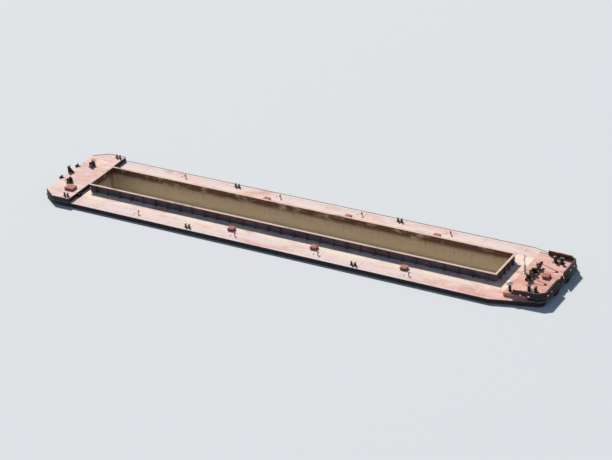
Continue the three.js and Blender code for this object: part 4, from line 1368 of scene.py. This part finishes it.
# %% Bars of the coamings
BAND_LOW, BAND_HIGH = 3.12, 3.145
ROD_Z, ROD_RADIUS = 3.737, 0.033
bars = [block((-33.09, 2.752, BAND_LOW), (30.79, 2.84, BAND_HIGH), 0.006)]
bars.append(bar((-33.24, 2.962, ROD_Z), (30.94, 2.962, ROD_Z), ROD_RADIUS))
long_bars = together(*coat(COAMING, *bars))
for side, s in SIDES.items():
    twin = copied(long_bars, flip=s < 0)
    finished(f"coaming_bars_{side}", twin, "barge", "coaming_paint")
clear_away(long_bars)
for end, x, out in (("fore", 30.7, 1), ("aft", -33.0, -1)):
    low, high = sorted((x + out * 0.002, x + out * 0.09))
    ends = [block((low, -2.75, BAND_LOW), (high, 2.75, BAND_HIGH), 0.006)]
    rod_x = x + out * 0.212
    ends.append(bar((rod_x, -2.96, ROD_Z), (rod_x, 2.96, ROD_Z), ROD_RADIUS))
    ends = together(*coat(COAMING, *ends))
    finished(f"coaming_bars_{end}", ends, "barge", "coaming_paint")
    print(end, "bars measure", [round(v, 2) for v in ends.dimensions], "in the model")


# %% Flat bars along the deck edges
def edge_bar(line, width, low, high):
    """A bar that follows points in plan, with its outer face on them."""
    inner = []
    for i, (x, y) in enumerate(line):
        before = Vector(line[i]) - Vector(line[max(i - 1, 0)])
        after = Vector(line[min(i + 1, len(line) - 1)]) - Vector(line[i])
        way = (before.normalized() + after.normalized()).normalized()
        inner.append((x + way.y * width, y - way.x * width))
    piece = cut_plate(line + inner[::-1], high - low, 0.006)
    piece.location = (0, 0, low)
    return settle(piece)


BAR_WIDTH = 0.05
side_edge = [(-33.8, 7.0), (31.6, 7.0), (38.0, 5.3), (38.59, 4.71)]
poop_edge = [(-38.72, 5.55), (-36.6, 6.95), (-33.8, 6.95)]
fore_edge = [(33.0, 5.45), (34.2, 5.383)]
edges = [edge_bar(side_edge, BAR_WIDTH, DECK, DECK + 0.04)]
edges.append(edge_bar(poop_edge, BAR_WIDTH, POOP_DECK, POOP_DECK + 0.05))
edges.append(edge_bar(fore_edge, BAR_WIDTH, FORE_DECK, FORE_DECK + 0.05))
edge = together(*coat(FITTING, *edges))
for side, s in SIDES.items():
    finished(f"deck_edge_bar_{side}", copied(edge, flip=s < 0), "barge", "hull_paint")
print("edge bars run", round(edge.dimensions.x, 1), "m along each side")
clear_away(edge)

# %% [markdown]
# The rim of a chain pipe is a half round bar welded to the deck, so that no link catches on the
# hole's edge. It could be turned from a profile. A ring whose lower half is pressed flat needs
# no profile and gives the same shape.

# %% Rims of the chain pipes
rims = []
half_round = {"major_radius": 0.172, "minor_radius": 0.026}
for x in (HAWSE_X, LOCKER_X):
    for s in (-1, 1):
        rim = primitive("torus", major_segments=24, minor_segments=12, **half_round)
        pick(rim, "verts", lambda vert: vert.co.z < -0.001)
        bpy.ops.transform.resize(value=(1, 1, 0.2), center_override=(0, 0, 0))
        leave()
        rims.append(put(rim, (x, s * CHAIN_Y, FORE_DECK + 0.008)))
print("rims:", len(rims))
finished("chain_pipe_rims", together(*coat(FITTING, *rims)), "barge", "fitting_paint")

# %% [markdown]
# An air pipe lets a tank breathe. Its goose neck keeps spray out, and gauze covers its mouth. It
# could be a curve with a round section. Here it is a ring of edges extruded up, spun through
# half a turn and extruded down again, because then the bend has an exact radius and the pipe
# gets a real wall.

# %% Air pipes with a goose neck
neck = primitive("circle", vertices=12, radius=0.055, location=(0, 0, 0.01))
pick(neck, "edges", lambda edge: True)
bpy.ops.mesh.extrude_region_move(TRANSFORM_OT_translate={"value": (0, 0, 0.4)})
bpy.ops.mesh.spin(steps=8, angle=-math.pi, center=(0.11, 0, 0.41), axis=(0, 1, 0))
bpy.ops.mesh.extrude_region_move(TRANSFORM_OT_translate={"value": (0, 0, -0.12)})
leave()
face_outwards(neck)
modify(neck, "SOLIDIFY", thickness=0.012, offset=-1)
flange = turned([(0.1, 0.001), (0.1, 0.02), (0.06, 0.025), (0.056, 0.05)], 16)
gauze = put(turned([(0.06, 0.27), (0.072, 0.275), (0.072, 0.325), (0.06, 0.33)], 16), (0.22, 0, 0))
neck = together(*coat(HATCH, neck, flange, gauze))
print("goose neck spans", [round(v, 2) for v in neck.dimensions])

# %% Sounding caps, and all of them along the deck
profile = [(0.075, 0.001), (0.075, 0.015), (0.05, 0.02), (0.05, 0.05), (0.06, 0.055)]
profile += [(0.06, 0.075), (0.045, 0.085)]
cap = turned(profile, 12)
coat(FITTING, cap)
for side, s in SIDES.items():
    fittings, y = [], s * 5.9
    for x in (19.9, 6.4, -6.6, -22.5):
        fittings.append(copied(neck, (x, y, DECK), math.pi / 2 * -s))
        fittings.append(copied(cap, (x - 0.7, y, DECK)))
    print(side, "pipes and caps:", len(fittings))
    finished(f"air_pipes_{side}", together(*fittings), "barge", "hatch_paint")
clear_away(neck, cap)

# %% [markdown]
# Ladders go down into the hold and steps up to the raised decks. They are the plainest work on
# board, cut bar and plate, so each is modelled once from the same tools and copied. An array
# modifier could repeat the rungs, but a short loop keeps their spacing in plain sight.

# %% Ladders into the hold
rails = [block((-0.03, y - 0.008, 0), (0.03, y + 0.008, 3.0), 0.004) for y in (-0.2, 0.2)]
rungs = [bar((0, -0.2, 0.18 + i * 0.3), (0, 0.2, 0.18 + i * 0.3), 0.011, 8) for i in range(10)]
feet = []
for y in (-0.2, 0.2):
    for z in (0.1, 1.5, 2.9):
        feet.append(block((0.02, y - 0.02, z), (0.13, y + 0.02, z + 0.012), 0.003))
ladder = together(*coat(FITTING, *rails, *rungs, *feet))
finished("hold_ladder_fore", copied(ladder, (30.47, -1.9, 0.68)), "barge", "fitting_paint")
finished("hold_ladder_aft", copied(ladder, (-32.77, 1.9, 0.68), math.pi), "barge", "fitting_paint")
print("ladder measures", [round(v, 2) for v in ladder.dimensions])
clear_away(ladder)


# %% Steps to the raised decks
def steps(rise, treads):
    """Steps up a face at x = 0: treads that reach back over two side plates."""
    side = [(0, 0), (-0.24 * treads, 0), (-0.02, rise - 0.05), (0, rise - 0.05)]
    parts = [upright(cut_plate(side, 0.014, 0.003), y) for y in (-0.3, 0.3)]
    for i in range(treads):
        z = rise * (i + 1) / (treads + 1)
        reach = 0.24 * treads * (1 - z / rise) + 0.06
        parts.append(block((-reach, -0.32, z - 0.02), (0, 0.32, z), 0.005))
    return together(*coat(FITTING, *parts))


for name, x, y, upper_deck, treads, turn in (
    ("fore", 33.0, 3.6, FORE_DECK, 1, 0),
    ("aft", -33.8, 4.6, POOP_DECK, 2, math.pi),
):
    flight = steps(upper_deck - DECK, treads)
    for side, s in SIDES.items():
        twin = copied(flight, (x, s * y, DECK), turn)
        finished(f"steps_{name}_{side}", twin, "barge", "fitting_paint")
    print(name, "steps rise", round(upper_deck - DECK, 2), "m over", treads, "treads")
    clear_away(flight)
